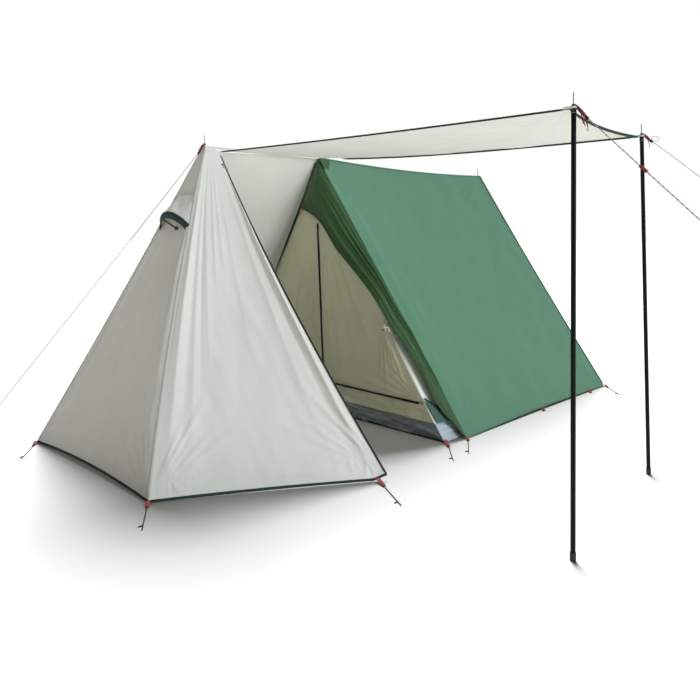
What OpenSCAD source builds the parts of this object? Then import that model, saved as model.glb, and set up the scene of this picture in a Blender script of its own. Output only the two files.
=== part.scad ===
// Ridge tent with a sleeping end, a closed-in porch and a porch door propped up as an awning.
// Frame: X runs along the ridge towards the rear, -Y is the awning side, Z is up.
// The origin is on the ground, under the centre of the sleeping floor.

/* [Ridge] */
// Height of the ridge over the porch and the front of the sleeping end
ridge_h = 1700; // [1620:10:1800]
// Height of the ridge over the rear pole
rear_h = 1680; // [1620:10:1800]

/* [Sleeping end] */
// Length of the sleeping floor
floor_l = 1932; // [1800:4:2200]
// Half the width of the sleeping floor
floor_half_w = 1050; // [900:10:1060]
// Half the width of the outer fly at the ground
fly_half_w = 1100; // [1090:5:1150]
// How far the foot of the fly's front edge sits behind its top
fly_cutback = 150; // [60:5:200]
// Height of the raised edge of the groundsheet
tub_h = 95; // [60:5:140]
// Height of the inner tent's ridge
inner_h = 1640; // [1560:10:1650]

/* [Porch] */
// Distance from the front of the sleeping end to the front pole
porch_l = 902; // [800:2:1000]
// How far the front hem lies ahead of the front pole
hem_lead = 710; // [600:5:800]
// Half the width of the front hem
hem_half_w = 618; // [500:2:700]
// Half the width of the porch at its rear corners
side_half_w = 1197; // [1150:1:1250]
// How far the porch's rear corners lie ahead of the sleeping end
side_lead = 661; // [600:1:700]

/* [Awning] */
// Reach of the awning at its front corner
reach_front = 2172; // [2000:4:2300]
// Reach of the awning at its rear corner
reach_rear = 2045; // [1900:5:2200]
// Height of the awning's outer corners
awning_h = 1680; // [1600:10:1760]

/* [Poles] */
// Diameter of the pole tubes
pole_d = 19; // [16:0.5:22]
// Wall of the pole tubes
pole_wall = 1; // [0.8:0.1:1.5]
// Diameter of the spike on each pole
spike_d = 6; // [5:0.5:8]
// Length of spike that stands above the fabric
spike_l = 58; // [40:1:70]

/* [Cloth] */
// Thickness that stands for the fabric panels
cloth_t = 2; // [1.5:0.5:4]
// Distance that each panel stops short of its seams
seam_gap = 14; // [12:1:20]
// Diameter of the guy lines
guy_d = 4; // [3:0.5:5]

/* [Hidden] */
round_fn = 32;

// Places along the ridge
wall_x = -floor_l / 2;
centre_x = wall_x + 22;
rear_x = floor_l / 2 - 15;
front_x = wall_x - porch_l;

// Corners of the porch
front_apex = [front_x, 0, ridge_h];
hem_near = [front_x - hem_lead, -hem_half_w, 0];
hem_far = flip(hem_near);
side_near = [wall_x - side_lead, -side_half_w, 0];
side_far = flip(side_near);
door_top_near = [front_x + 89, -20, ridge_h - 29];
door_top_far = flip(door_top_near);
back_far = [wall_x + 176, side_half_w, 0];
wall_apex = [wall_x, 0, ridge_h];

// Corners of the fly
fly_front_near = [wall_x + fly_cutback, -fly_half_w, 0];
fly_rear_near = [floor_l / 2 + 61, -fly_half_w, 0];
fly_apex_rear = [floor_l / 2 + 6, 0, rear_h];

// Corners and poles of the awning
awning_front = [wall_x - 708, -reach_front, awning_h];
awning_rear = [wall_x + 284, -reach_rear, awning_h];
awning_foot_front = [wall_x - 794, -reach_front - 39, 0];
awning_foot_rear = [wall_x + 302, -reach_rear - 27, 0];
awning_root = 60;
awning_stop = 16;

// Pole parts
pole_r = pole_d / 2;
bore_r = pole_r - pole_wall;
shoulder_drop = 30;
tab_drop = 24;
cone_h = 14;
neck_l = 14;
neck_step = 0.4;
tip_l = 4;
foot_wall = 4;
plug_gap = 0.1;
joint_1 = 580;
joint_2 = 1140;
spigot_l = 50;

// Lines from foot to shoulder of each pole
front_pole = [[front_x, 0, 0], [front_x, 0, ridge_h - shoulder_drop]];
centre_pole = [[centre_x, 0, cloth_t], [centre_x, 0, ridge_h - shoulder_drop]];
rear_pole = [[rear_x, 0, cloth_t], [rear_x, 0, rear_h - shoulder_drop]];
awning_pole_1 = pole_line(awning_foot_front, awning_front);
awning_pole_2 = pole_line(awning_foot_rear, awning_rear);

// Inner tent front: the door lies inside the fly's dark facing
sill_h = 190;
door_bottom = 200;
door_h = 1252;
tape_half_w = 12;
facing_top = 1385;
facing_foot = [1000, 130];
door_foot_half = 880;
door_top_half = 92;
zip_lean = 60;

// Vent on the end panel
end_normal = area_normal([hem_far, hem_near, front_apex]);
end_up = unit(front_apex - [hem_near.x, 0, 0]);
vent_half_w = 140;
vent_top = on_end(1370, 0) + end_normal * 3;
vent_lip = on_end(1290, 0) + end_normal * 62;

// Guy lines: hand-chosen points from the knot at the pole to the far end
front_guy_route = [
    [front_x - 40, 0, 1655], [front_x - 350, 0, 1290], [front_x - 700, 0, 885],
    [front_x - 1100, 0, 422], [front_x - 1415, 0, 58], [front_x - 1440, 0, 26]
];
awning_guy_1_route = [
    [-1680, -2245, 1617], [-1688, -2350, 1515], [-1697, -2480, 1390],
    [-1706, -2620, 1255], [-1712, -2700, 1178]
];
awning_guy_2_route = [
    [-676, -2115, 1630], [-670, -2190, 1565], [-664, -2270, 1495], [-657, -2365, 1411]
];

// Pegs: the end that sits in its loop, and the heading of the peg on the ground
peg_l = 230;
peg_r = 2.5;
pegs = [
    [[-2610, 575], 234], [[-2602, -652], 236], [[-1700, -1236], 240], [[-838, -1122], 215],
    [[-1008, -1108], 222], [[1000, -1140], 224], [[-1700, 1236], 120], [[-790, 1236], 60],
    [[1060, 1140], 40], [[-3314, 0], 180]
];
// Loops of webbing on the fly's hem that take no peg
spare_loops = [[[49, -1119], 240], [[752, -1119], 240], [[49, 1119], 120], [[752, 1119], 120]];

function flip(p) = [p.x, -p.y, p.z];
function unit(v) = v / norm(v);
function mix(a, b, t) = a + (b - a) * t;
function add_up(list, i = 0) = i < len(list) ? list[i] + add_up(list, i + 1) : [0, 0, 0];

// Normal of a nearly flat outline, pointing to the side from which it runs anticlockwise
function area_normal(p) =
    unit(add_up([for (i = [1 : len(p) - 2]) cross(p[i] - p[0], p[i + 1] - p[0])]));

// Corner i of an outline, moved in from both of its edges
function inset_corner(p, i, n, d) =
    let (
        k = len(p),
        m1 = cross(n, unit(p[i] - p[(i + k - 1) % k])),
        m2 = cross(n, unit(p[(i + 1) % k] - p[i]))
    )
    p[i] + (m1 + m2) * d / (1 + m1 * m2);

// Foot and shoulder of a pole whose spike goes through the fabric at top
function pole_line(foot, top) = [foot, top - unit(top - foot) * tab_drop];

// A point on the end panel at height z and distance y from its middle
function on_end(z, y) =
    mix([hem_near.x, 0, 0], front_apex, z / ridge_h) + [0, y, 0];

// Half the width of the inner tent's front at height z
function inner_half(z) = floor_half_w * (1 - z / inner_h);

// How far the door's upright zip lies to the side at height z
function zip_y(z) = -zip_lean * (door_h - z) / (door_h - door_bottom);

// A fabric panel: its outer face lies on the outline, less the seam allowance
module sheet(outline, inset = seam_gap, thick = cloth_t) {
    n = area_normal(outline);
    k = len(outline);
    outer = [for (i = [0 : k - 1]) inset_corner(outline, i, n, inset)];
    inner = [for (p = outer) p - n * thick];
    polyhedron(
        points = concat(outer, inner),
        faces = concat(
            [for (i = [1 : k - 2]) [0, i + 1, i]],
            [for (i = [1 : k - 2]) [k, k + i, k + i + 1]],
            [for (i = [0 : k - 1]) [i, (i + 1) % k, k + (i + 1) % k, k + i]]
        )
    );
}

// A binding strip on the panel over p-q whose top is at apex, from low to high up the panel
module binding(p, q, apex, low = 5, high = 12, ends = 24) {
    n = area_normal([p, q, apex]);
    along = unit(q - p);
    up = cross(n, along);
    a = p + along * ends;
    b = q - along * ends;
    sheet([a + up * low, b + up * low, b + up * high, a + up * high], inset = 0);
}

// Puts its child's +Z on the line from p to q, starting at p
module along(p, q) {
    d = q - p;
    translate(p)
        rotate([0, acos(d.z / norm(d)), atan2(d.y, d.x)])
            children();
}

// A round bar between two points
module bar(p, q, r) {
    along(p, q)
        cylinder(h = norm(q - p), r = r, $fn = round_fn);
}

// A length of pole tube, with a spigot that plugs into the length below it
module pole_tube(line, from, to, spigot) {
    along(line[0], line[1])
        difference() {
            union() {
                translate([0, 0, from])
                    cylinder(h = to - from, r = pole_r, $fn = round_fn);
                if (spigot)
                    translate([0, 0, from - spigot_l])
                        cylinder(h = spigot_l + 1, r = bore_r - plug_gap, $fn = round_fn);
            }
            translate([0, 0, from - spigot_l - 1])
                cylinder(h = to - from + spigot_l + 2, r = bore_r - pole_wall - plug_gap, $fn = round_fn);
            if (!spigot)
                translate([0, 0, from - 1])
                    cylinder(h = to - from + 2, r = bore_r, $fn = round_fn);
            if (spigot)
                translate([0, 0, from + 2])
                    cylinder(h = to - from, r = bore_r, $fn = round_fn);
        }
}

module pole_lower(line) {
    color([0.05, 0.06, 0.07])
        pole_tube(line, foot_wall, joint_1, false);
}

module pole_middle(line) {
    color([0.06, 0.07, 0.08])
        pole_tube(line, joint_1, joint_2, true);
}

module pole_upper(line) {
    color([0.05, 0.06, 0.07])
        pole_tube(line, joint_2, norm(line[1] - line[0]), true);
}

// A rubber cup under a pole
module pole_foot(line) {
    tilt = unit(line[1] - line[0]);
    lift = (pole_r + 2) * sqrt(1 - tilt.z * tilt.z);
    along(line[0] + tilt * lift, line[1])
        difference() {
            cylinder(h = 30, r = pole_r + 2, $fn = round_fn);
            translate([0, 0, foot_wall - lift])
                cylinder(h = 40, r = pole_r + plug_gap / 2, $fn = round_fn);
        }
}

// The steel plug and spike in the top of a pole; reach is from the shoulder to the fabric
module pole_spike(line, reach) {
    shoulder = norm(line[1] - line[0]);
    along(line[0], line[1])
        translate([0, 0, shoulder]) {
            translate([0, 0, -25])
                cylinder(h = 25.5, r = bore_r - plug_gap, $fn = round_fn);
            translate([0, 0, 0.5])
                cylinder(h = cone_h - 0.5, r1 = pole_r, r2 = spike_d / 2 + neck_step, $fn = round_fn);
            cylinder(h = 0.5, r = pole_r, $fn = round_fn);
            translate([0, 0, cone_h])
                cylinder(h = reach + neck_l - cone_h, r = spike_d / 2 + neck_step, $fn = round_fn);
            translate([0, 0, reach + neck_l])
                cylinder(h = spike_l - neck_l - tip_l, r = spike_d / 2, $fn = round_fn);
            translate([0, 0, reach + spike_l - tip_l])
                cylinder(h = tip_l, r1 = spike_d / 2, r2 = 1, $fn = round_fn);
        }
}

module front_pole_lower() { pole_lower(front_pole); }
module front_pole_middle() { pole_middle(front_pole); }
module front_pole_upper() { pole_upper(front_pole); }
module centre_pole_lower() { pole_lower(centre_pole); }
module centre_pole_middle() { pole_middle(centre_pole); }
module centre_pole_upper() { pole_upper(centre_pole); }
module rear_pole_lower() { pole_lower(rear_pole); }
module rear_pole_middle() { pole_middle(rear_pole); }
module rear_pole_upper() { pole_upper(rear_pole); }
module awning_pole_1_lower() { pole_lower(awning_pole_1); }
module awning_pole_1_middle() { pole_middle(awning_pole_1); }
module awning_pole_1_upper() { pole_upper(awning_pole_1); }
module awning_pole_2_lower() { pole_lower(awning_pole_2); }
module awning_pole_2_middle() { pole_middle(awning_pole_2); }
module awning_pole_2_upper() { pole_upper(awning_pole_2); }

module pole_feet() {
    color([0.02, 0.02, 0.02])
        for (line = [front_pole, centre_pole, rear_pole, awning_pole_1, awning_pole_2])
            pole_foot(line);
}

module pole_spikes() {
    color([0.6, 0.62, 0.64]) {
        for (line = [front_pole, centre_pole, rear_pole])
            pole_spike(line, shoulder_drop);
        for (line = [awning_pole_1, awning_pole_2])
            pole_spike(line, tab_drop);
    }
}

module vestibule_end_panel() {
    color([0.80, 0.80, 0.74])
        sheet([hem_far, hem_near, front_apex]);
}

module vestibule_near_panel() {
    color([0.82, 0.83, 0.79])
        sheet([hem_near, side_near, door_top_near, front_apex]);
}

module vestibule_far_panel() {
    color([0.82, 0.83, 0.79])
        sheet([side_far, hem_far, front_apex, door_top_far]);
}

module vestibule_far_door() {
    color([0.82, 0.83, 0.79])
        sheet([back_far, side_far, door_top_far, wall_apex + [20, 0, 0]]);
}

// A strip along a ridge from eyelet to eyelet
module ridge_band(from, to, hang) {
    difference() {
        hull()
            for (p = [from, to])
                translate(p - [0, 0, hang])
                    cylinder(h = 2, r = 11, $fn = round_fn);
        for (p = [from, to])
            translate(p - [0, 0, hang + 5])
                cylinder(h = 12, r = spike_d / 2 + 1, $fn = round_fn);
    }
}

module vestibule_ridge_band() {
    color([0.84, 0.84, 0.80])
        ridge_band(front_apex, [centre_x, 0, ridge_h], 0);
}

module fly_ridge_band() {
    color([0.20, 0.42, 0.30])
        ridge_band([centre_x, 0, ridge_h], [rear_x, 0, rear_h], 5);
}

module vestibule_hem() {
    color([0.08, 0.22, 0.17]) {
        binding(hem_far, hem_near, front_apex);
        binding(hem_near, side_near, front_apex);
        binding(side_far, hem_far, front_apex);
        binding(back_far, side_far, wall_apex);
    }
}

// The awning's four corners: two near the ridge and two that stop just short of the poles
function awning_corner(pole_top, ridge_at) =
    pole_top + unit(ridge_at - pole_top) * awning_stop;
awning_outline = [
    awning_corner(awning_front, front_apex + [89, 0, 0]) - [0, 0, 3],
    awning_corner(awning_rear, wall_apex) - [0, 0, 3],
    [wall_x + 24, -awning_root, ridge_h - 3],
    [front_x + 95, -awning_root, ridge_h - 3]
];

module awning_panel() {
    color([0.82, 0.82, 0.78])
        sheet(awning_outline, inset = 8);
}

module awning_hem() {
    n = area_normal(awning_outline);
    color([0.05, 0.12, 0.10])
        for (i = [0, 1, 3]) {
            a = awning_outline[i];
            b = awning_outline[(i + 1) % 4];
            d = unit(b - a);
            up = cross(n, d);
            sheet([a + d * 12, b - d * 12, b - d * 12 + up * 7, a + d * 12 + up * 7], inset = 0);
        }
}

// Webbing tabs with an eyelet, one on each awning pole, lying over the corner of the awning
module awning_eyelet_tabs() {
    color([0.08, 0.20, 0.16])
        for (line = [[awning_pole_1, awning_outline[0]], [awning_pole_2, awning_outline[1]]]) {
            top = line[0][1] + unit(line[0][1] - line[0][0]) * tab_drop;
            inward = unit([line[1].x - top.x, line[1].y - top.y, 0]);
            difference() {
                hull() {
                    translate(top)
                        cylinder(h = 2, r = 12, $fn = round_fn);
                    translate(top + inward * 26)
                        cylinder(h = 2, r = 9, $fn = round_fn);
                }
                translate(top - [0, 0, 5])
                    cylinder(h = 12, r = spike_d / 2 + 1, $fn = round_fn);
            }
        }
}

// The edge of the near porch panel that the awning zips to
door_edge_n = area_normal([hem_near, side_near, door_top_near]);
door_edge = unit(side_near - door_top_near);
door_in = cross(door_edge_n, unit(door_top_near - side_near));
function on_door_edge(s, across, out) =
    door_top_near + door_edge * s + door_in * across + door_edge_n * out;

module door_zip_tape() {
    color([0.03, 0.03, 0.03])
        sheet([
            on_door_edge(1990, 1, 1), on_door_edge(60, 1, 1),
            on_door_edge(60, 12, 1), on_door_edge(1990, 12, 1)
        ], inset = 0, thick = 2);
}

module slider_body(w, h, t) {
    hull()
        for (x = [-1, 1])
            translate([x * (w / 2 - 3), 0, 0])
                cylinder(h = t, r = 3, $fn = 24);
    translate([-1.5, -h, t - 1.4])
        cube([3, h, 1.4]);
}

// Puts its child's X along u and its Z along w
module facing(at, u, w) {
    v = cross(w, u);
    multmatrix([
        [u.x, v.x, w.x, at.x],
        [u.y, v.y, w.y, at.y],
        [u.z, v.z, w.z, at.z],
        [0, 0, 0, 1]
    ])
        children();
}

module door_zip_slider() {
    color([0.02, 0.02, 0.02])
        facing(on_door_edge(95, 22, 4), -door_edge, door_edge_n)
            rotate([0, 0, -90])
                slider_body(12, 26, 4);
}

module vent_hood() {
    half_up = [0, vent_half_w - 20, 0];
    half_lip = [0, vent_half_w, 0];
    color([0.80, 0.80, 0.74])
        sheet([vent_lip + half_lip, vent_lip - half_lip, vent_top - half_up, vent_top + half_up], inset = 1);
}

module vent_brim() {
    half = [0, vent_half_w, 0];
    low = vent_lip - [0, 0, 42] + end_normal * 6;
    color([0.05, 0.15, 0.11])
        sheet([
            low + half, low - half,
            vent_lip - half - [0, 0, 2], vent_lip + half - [0, 0, 2]
        ], inset = 0);
}

vent_strut_foot = on_end(1215, -45) + end_normal * 7;
vent_strut_head = vent_lip + [12, vent_half_w - 22, -34];

module vent_strut() {
    color([0.02, 0.02, 0.02]) {
        bar(vent_strut_foot, vent_strut_head, 4);
        translate(vent_strut_foot)
            sphere(r = 6.5, $fn = 24);
    }
}

module fly_near_panel() {
    color([0.37, 0.57, 0.46])
        sheet([fly_front_near, fly_rear_near, fly_apex_rear, wall_apex]);
}

module fly_far_panel() {
    color([0.37, 0.57, 0.46])
        sheet([flip(fly_rear_near), flip(fly_front_near), wall_apex, fly_apex_rear]);
}

module fly_rear_panel() {
    color([0.33, 0.53, 0.42])
        sheet([fly_rear_near, flip(fly_rear_near), fly_apex_rear]);
}

// The dark strip turned in from the fly's front edge, in front of the inner tent
facing_x = wall_x - 8;
facing_near = [
    [facing_x, -facing_foot[0], facing_foot[1]],
    [facing_x, -1052, 10],
    fly_front_near + [-20, 4, 10],
    wall_apex + [-8, -2, -24],
    [facing_x, -2, facing_top]
];

module fly_near_facing() {
    color([0.13, 0.26, 0.16])
        sheet(facing_near, inset = 2);
}

module fly_far_facing() {
    color([0.13, 0.26, 0.16])
        mirror([0, 1, 0])
            sheet(facing_near, inset = 2);
}

module fly_hem() {
    color([0.20, 0.42, 0.30]) {
        binding(fly_front_near, fly_rear_near, wall_apex);
        binding(flip(fly_rear_near), flip(fly_front_near), wall_apex);
        binding(fly_rear_near, flip(fly_rear_near), fly_apex_rear);
    }
}

module groundsheet() {
    color([0.30, 0.33, 0.36])
        translate([-floor_l / 2, -floor_half_w, 0])
            cube([floor_l, 2 * floor_half_w, cloth_t]);
}

// The raised edges of the floor follow the slopes of the inner tent
module groundsheet_upstands() {
    low = cloth_t + 1;
    x = floor_l / 2;
    yl = inner_half(low);
    yh = inner_half(tub_h);
    side = [[-x, -yl, low], [x, -yl, low], [x, -yh, tub_h], [-x, -yh, tub_h]];
    front = [[-x, yl, low], [-x, -yl, low], [-x, -yh, tub_h], [-x, yh, tub_h]];
    color([0.33, 0.36, 0.39]) {
        sheet(side, inset = 3);
        mirror([0, 1, 0])
            sheet(side, inset = 3);
        sheet(front, inset = 5);
        mirror([1, 0, 0])
            sheet(front, inset = 5);
    }
}

// The two slopes stop a little below their ridge, clear of the poles
module inner_near_wall() {
    x = floor_l / 2;
    y = inner_half(tub_h);
    top = inner_h - 25;
    yt = inner_half(top);
    color([0.60, 0.60, 0.50])
        sheet([[-x, -y, tub_h], [x, -y, tub_h], [x, -yt, top], [-x, -yt, top]], inset = 12);
}

module inner_far_wall() {
    mirror([0, 1, 0])
        inner_near_wall();
}

module inner_rear_wall() {
    x = floor_l / 2;
    y = inner_half(tub_h);
    color([0.60, 0.60, 0.50])
        sheet([[x, -y, tub_h], [x, y, tub_h], [x, 0, inner_h]], inset = 10);
}

module inner_front_top() {
    y = inner_half(door_h);
    color([0.56, 0.56, 0.44])
        sheet([[wall_x, y, door_h], [wall_x, -y, door_h], [wall_x, 0, inner_h]], inset = 6);
}

// The fixed cloth between the door and the slopes
module inner_front_margins() {
    margin = [
        [wall_x, -inner_half(door_bottom) + 6, door_bottom],
        [wall_x, -door_foot_half - 6, door_bottom],
        [wall_x, -door_top_half - 6, door_h],
        [wall_x, -inner_half(door_h) + 6, door_h]
    ];
    color([0.56, 0.56, 0.44]) {
        sheet(margin, inset = 2);
        mirror([0, 1, 0])
            sheet(margin, inset = 2);
    }
}

module inner_front_sill() {
    yl = inner_half(tub_h);
    yh = inner_half(sill_h);
    color([0.56, 0.56, 0.44])
        sheet([
            [wall_x, yl, tub_h], [wall_x, -yl, tub_h],
            [wall_x, -yh, sill_h], [wall_x, yh, sill_h]
        ], inset = 2);
}

module inner_zip_tapes() {
    foot = zip_y(door_bottom);
    end = door_foot_half - 10;
    gap = tape_half_w + 20;
    color([0.10, 0.10, 0.09]) {
        sheet([
            [wall_x, foot + tape_half_w, door_bottom], [wall_x, foot - tape_half_w, door_bottom],
            [wall_x, -tape_half_w, door_h], [wall_x, tape_half_w, door_h]
        ], inset = 0);
        translate([wall_x, -end, sill_h + 1])
            cube([2, end + foot - gap, 6]);
        translate([wall_x, foot + gap, sill_h + 1])
            cube([2, end - foot - gap, 6]);
    }
}

// A leaf of the inner door, from the upright zip to the hinge line; side is -1 on the near side
module inner_door_leaf(side) {
    free = side * (tape_half_w + 2);
    leaf = [
        [wall_x, zip_y(door_bottom) + free, door_bottom], [wall_x, side * door_foot_half, door_bottom],
        [wall_x, side * door_top_half, door_h], [wall_x, free, door_h]
    ];
    color([0.58, 0.58, 0.46])
        sheet(side < 0 ? leaf : [leaf[1], leaf[0], leaf[3], leaf[2]], inset = 1);
}

module inner_door_near() {
    inner_door_leaf(-1);
}

module inner_door_far() {
    inner_door_leaf(1);
}

module centre_zip_slider() {
    color([0.02, 0.02, 0.02])
        facing([wall_x - 1, zip_y(1225), 1225], [0, -1, 0], [-1, 0, 0])
            slider_body(10, 22, 4);
}

module sill_zip_slider() {
    color([0.02, 0.02, 0.02])
        facing([wall_x - 1, -150, sill_h + 4], [0, -1, 0], [-1, 0, 0])
            slider_body(10, 22, 4);
}

// A flat loop of webbing between a corner and its peg
module peg_loop(place) {
    translate([place[0].x, place[0].y, 0])
        rotate([0, 0, place[1]])
            difference() {
                translate([-26, -9, 0])
                    cube([30, 18, 1.8]);
                translate([-20, -5, -1])
                    cube([20, 10, 4]);
            }
}

module peg_loops() {
    color([0.62, 0.05, 0.12])
        for (place = concat(pegs, spare_loops))
            peg_loop(place);
}

// A straight steel peg with a hooked head, lying on the ground beyond its loop
module peg() {
    translate([6, 0, peg_r])
        rotate([0, 90, 0]) {
            cylinder(h = 16, r1 = 0.8, r2 = peg_r, $fn = 24);
            translate([0, 0, 16])
                cylinder(h = peg_l - 16, r = peg_r, $fn = 24);
        }
    translate([6 + peg_l - 45, 0, peg_r])
        rotate([90, 0, 35])
            cylinder(h = 22, r = peg_r, $fn = 24);
}

module ground_pegs() {
    color([0.10, 0.10, 0.11])
        for (place = pegs)
            translate([place[0].x, place[0].y, 0])
                rotate([0, 0, place[1]])
                    peg();
}

// The bundles of red line looped over the front spike and both awning spikes
module guy_loop(top, knot) {
    out = unit([knot.x - top.x, knot.y - top.y, 0]);
    start = top + out * 16 + [0, 0, 8];
    translate(top + [0, 0, 7])
        rotate_extrude($fn = round_fn)
            translate([9, 0])
                circle(r = 4, $fn = 16);
    bar(start, knot - unit(knot - start) * 2, 4.5);
}

module guy_loops() {
    color([0.66, 0.06, 0.13]) {
        guy_loop(front_apex, front_guy_route[0]);
        guy_loop(awning_front, awning_guy_1_route[0]);
        guy_loop(awning_rear, awning_guy_2_route[0]);
    }
}

// Rings of an eight-sided tube along a route
function tube_rings(route, r) = [
    for (i = [0 : len(route) - 1])
        let (
            a = route[max(i - 1, 0)],
            b = route[min(i + 1, len(route) - 1)],
            d = unit(b - a),
            u = unit(cross(d, [0, 1, 0.3])),
            v = cross(d, u)
        )
        for (k = [0 : 7])
            route[i] + (u * cos(k * 45) + v * sin(k * 45)) * r
];

module cord(route, r) {
    rings = len(route);
    polyhedron(
        points = tube_rings(route, r),
        faces = concat(
            [[for (k = [7 : -1 : 0]) k]],
            [[for (k = [0 : 7]) (rings - 1) * 8 + k]],
            [for (i = [0 : rings - 2], k = [0 : 7])
                [i * 8 + k, i * 8 + (k + 1) % 8, (i + 1) * 8 + (k + 1) % 8, (i + 1) * 8 + k]]
        )
    );
}

// Points added between the corners of a route, so that its rings stay close together
function fine(route, n) = concat(
    [for (i = [0 : len(route) - 2], k = [0 : n - 1]) mix(route[i], route[i + 1], k / n)],
    [route[len(route) - 1]]
);

module front_guy_line() {
    color([0.75, 0.76, 0.76])
        cord(fine(front_guy_route, 4), guy_d / 2);
}

module awning_guy_line_1() {
    color([0.75, 0.70, 0.70])
        cord(fine(awning_guy_1_route, 4), guy_d / 2);
}

module awning_guy_line_2() {
    color([0.75, 0.76, 0.76])
        cord(fine(awning_guy_2_route, 4), guy_d / 2);
}

// A tensioner with a hole for the line, at a place between two points of its route
module guy_slider(from, to, at) {
    place = mix(from, to, at);
    along(place, to)
        difference() {
            hull()
                for (y = [-5, 5])
                    translate([0, y, -16])
                        cylinder(h = 32, r = 5, $fn = 24);
            translate([0, 0, -20])
                cylinder(h = 40, r = guy_d / 2 + 0.6, $fn = 24);
        }
}

module front_guy_slider() {
    color([0.66, 0.06, 0.13])
        guy_slider(front_guy_route[3], front_guy_route[4], 0.5);
}

module awning_guy_slider() {
    color([0.66, 0.06, 0.13])
        guy_slider(awning_guy_1_route[1], awning_guy_1_route[2], 0.7);
}

front_pole_lower();
front_pole_middle();
front_pole_upper();
centre_pole_lower();
centre_pole_middle();
centre_pole_upper();
rear_pole_lower();
rear_pole_middle();
rear_pole_upper();
awning_pole_1_lower();
awning_pole_1_middle();
awning_pole_1_upper();
awning_pole_2_lower();
awning_pole_2_middle();
awning_pole_2_upper();
pole_feet();
pole_spikes();
vestibule_end_panel();
vestibule_near_panel();
vestibule_far_panel();
vestibule_far_door();
vestibule_ridge_band();
vestibule_hem();
awning_panel();
awning_hem();
awning_eyelet_tabs();
door_zip_tape();
door_zip_slider();
vent_hood();
vent_brim();
vent_strut();
fly_near_panel();
fly_far_panel();
fly_rear_panel();
fly_near_facing();
fly_far_facing();
fly_ridge_band();
fly_hem();
groundsheet();
groundsheet_upstands();
inner_near_wall();
inner_far_wall();
inner_rear_wall();
inner_front_top();
inner_front_margins();
inner_front_sill();
inner_zip_tapes();
inner_door_near();
inner_door_far();
centre_zip_slider();
sill_zip_slider();
peg_loops();
ground_pegs();
guy_loops();
front_guy_line();
awning_guy_line_1();
awning_guy_line_2();
front_guy_slider();
awning_guy_slider();
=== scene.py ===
import math

import bpy
import numpy as np
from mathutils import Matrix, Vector


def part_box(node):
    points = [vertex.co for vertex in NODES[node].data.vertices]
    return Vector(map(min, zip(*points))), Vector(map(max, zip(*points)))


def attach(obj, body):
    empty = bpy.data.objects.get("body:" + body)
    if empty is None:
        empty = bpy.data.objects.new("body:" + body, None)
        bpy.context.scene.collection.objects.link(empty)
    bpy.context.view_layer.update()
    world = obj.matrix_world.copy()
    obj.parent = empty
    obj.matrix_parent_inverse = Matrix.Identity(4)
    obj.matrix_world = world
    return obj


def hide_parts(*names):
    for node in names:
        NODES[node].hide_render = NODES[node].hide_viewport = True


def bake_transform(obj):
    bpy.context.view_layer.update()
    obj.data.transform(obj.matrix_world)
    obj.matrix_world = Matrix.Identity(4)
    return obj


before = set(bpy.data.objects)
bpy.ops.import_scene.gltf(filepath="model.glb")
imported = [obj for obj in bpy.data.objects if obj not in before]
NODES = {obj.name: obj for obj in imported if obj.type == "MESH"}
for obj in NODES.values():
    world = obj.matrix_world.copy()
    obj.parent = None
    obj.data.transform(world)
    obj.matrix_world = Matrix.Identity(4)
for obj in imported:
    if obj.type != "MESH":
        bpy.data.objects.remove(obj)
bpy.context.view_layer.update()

# ---------------------------------------------------------------- places, in metres


def point(x, y, z):
    return np.array([x, y, z], float)


def flip(p):
    """The same place on the far side of the ridge."""
    return p * point(1, -1, 1)


def unit(v):
    return v / np.linalg.norm(v)


def steps(count, start=0.0, end=1.0):
    return np.linspace(start, end, count)


UP = point(0, 0, 1)
TURN = 2 * math.pi

FLOOR_LOW, FLOOR_HIGH = (np.array(corner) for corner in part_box("groundsheet"))
WALL_X, REAR_X = FLOOR_LOW[0], FLOOR_HIGH[0]
FLOOR_HALF_W = FLOOR_HIGH[1]
RIDGE_H, REAR_H, INNER_H = 1.700, 1.680, 1.640
FLY_HALF_W = 1.100
FRONT_X = WALL_X - 0.902
TUB_H, SILL_H = 0.095, 0.195
DOOR_BOTTOM, DOOR_H = 0.200, 1.252
ZIP_LEAN = 0.060
DOOR_FOOT_HALF, DOOR_TOP_HALF = 0.880, 0.092

FRONT_APEX = point(FRONT_X, 0, RIDGE_H)
WALL_APEX = point(WALL_X, 0, RIDGE_H)
REAR_APEX = point(REAR_X + 0.006, 0, REAR_H)
HEM_NEAR = point(FRONT_X - 0.710, -0.618, 0.004)
SIDE_NEAR = point(WALL_X - 0.661, -1.197, 0.026)
BACK_FAR = point(WALL_X + 0.176, 1.197, 0.004)
DOOR_TOP = point(FRONT_X + 0.089, -0.020, RIDGE_H - 0.029)
FLY_FRONT = point(WALL_X + 0.150, -FLY_HALF_W, 0.004)
FLY_REAR = point(REAR_X + 0.061, -FLY_HALF_W, 0.004)
AWNING_FRONT = point(WALL_X - 0.708, -2.172, 1.680)
AWNING_REAR = point(WALL_X + 0.284, -2.045, 1.680)
FACING_EDGE = np.array([
    (-0.824, -1.095, 0.012), (-0.858, -1.046, 0.080), (-0.900, -0.996, 0.148), (-0.922, -0.951, 0.214),
    (-0.935, -0.880, 0.325), (-0.950, -0.801, 0.447), (-0.968, -0.746, 0.532), (-0.994, -0.687, 0.617),
    (-0.998, -0.529, 0.806), (-1.004, -0.393, 0.936), (-1.008, -0.231, 1.078), (-1.006, -0.046, 1.276),
    (-1.002, 0.135, 1.368),
])

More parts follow.
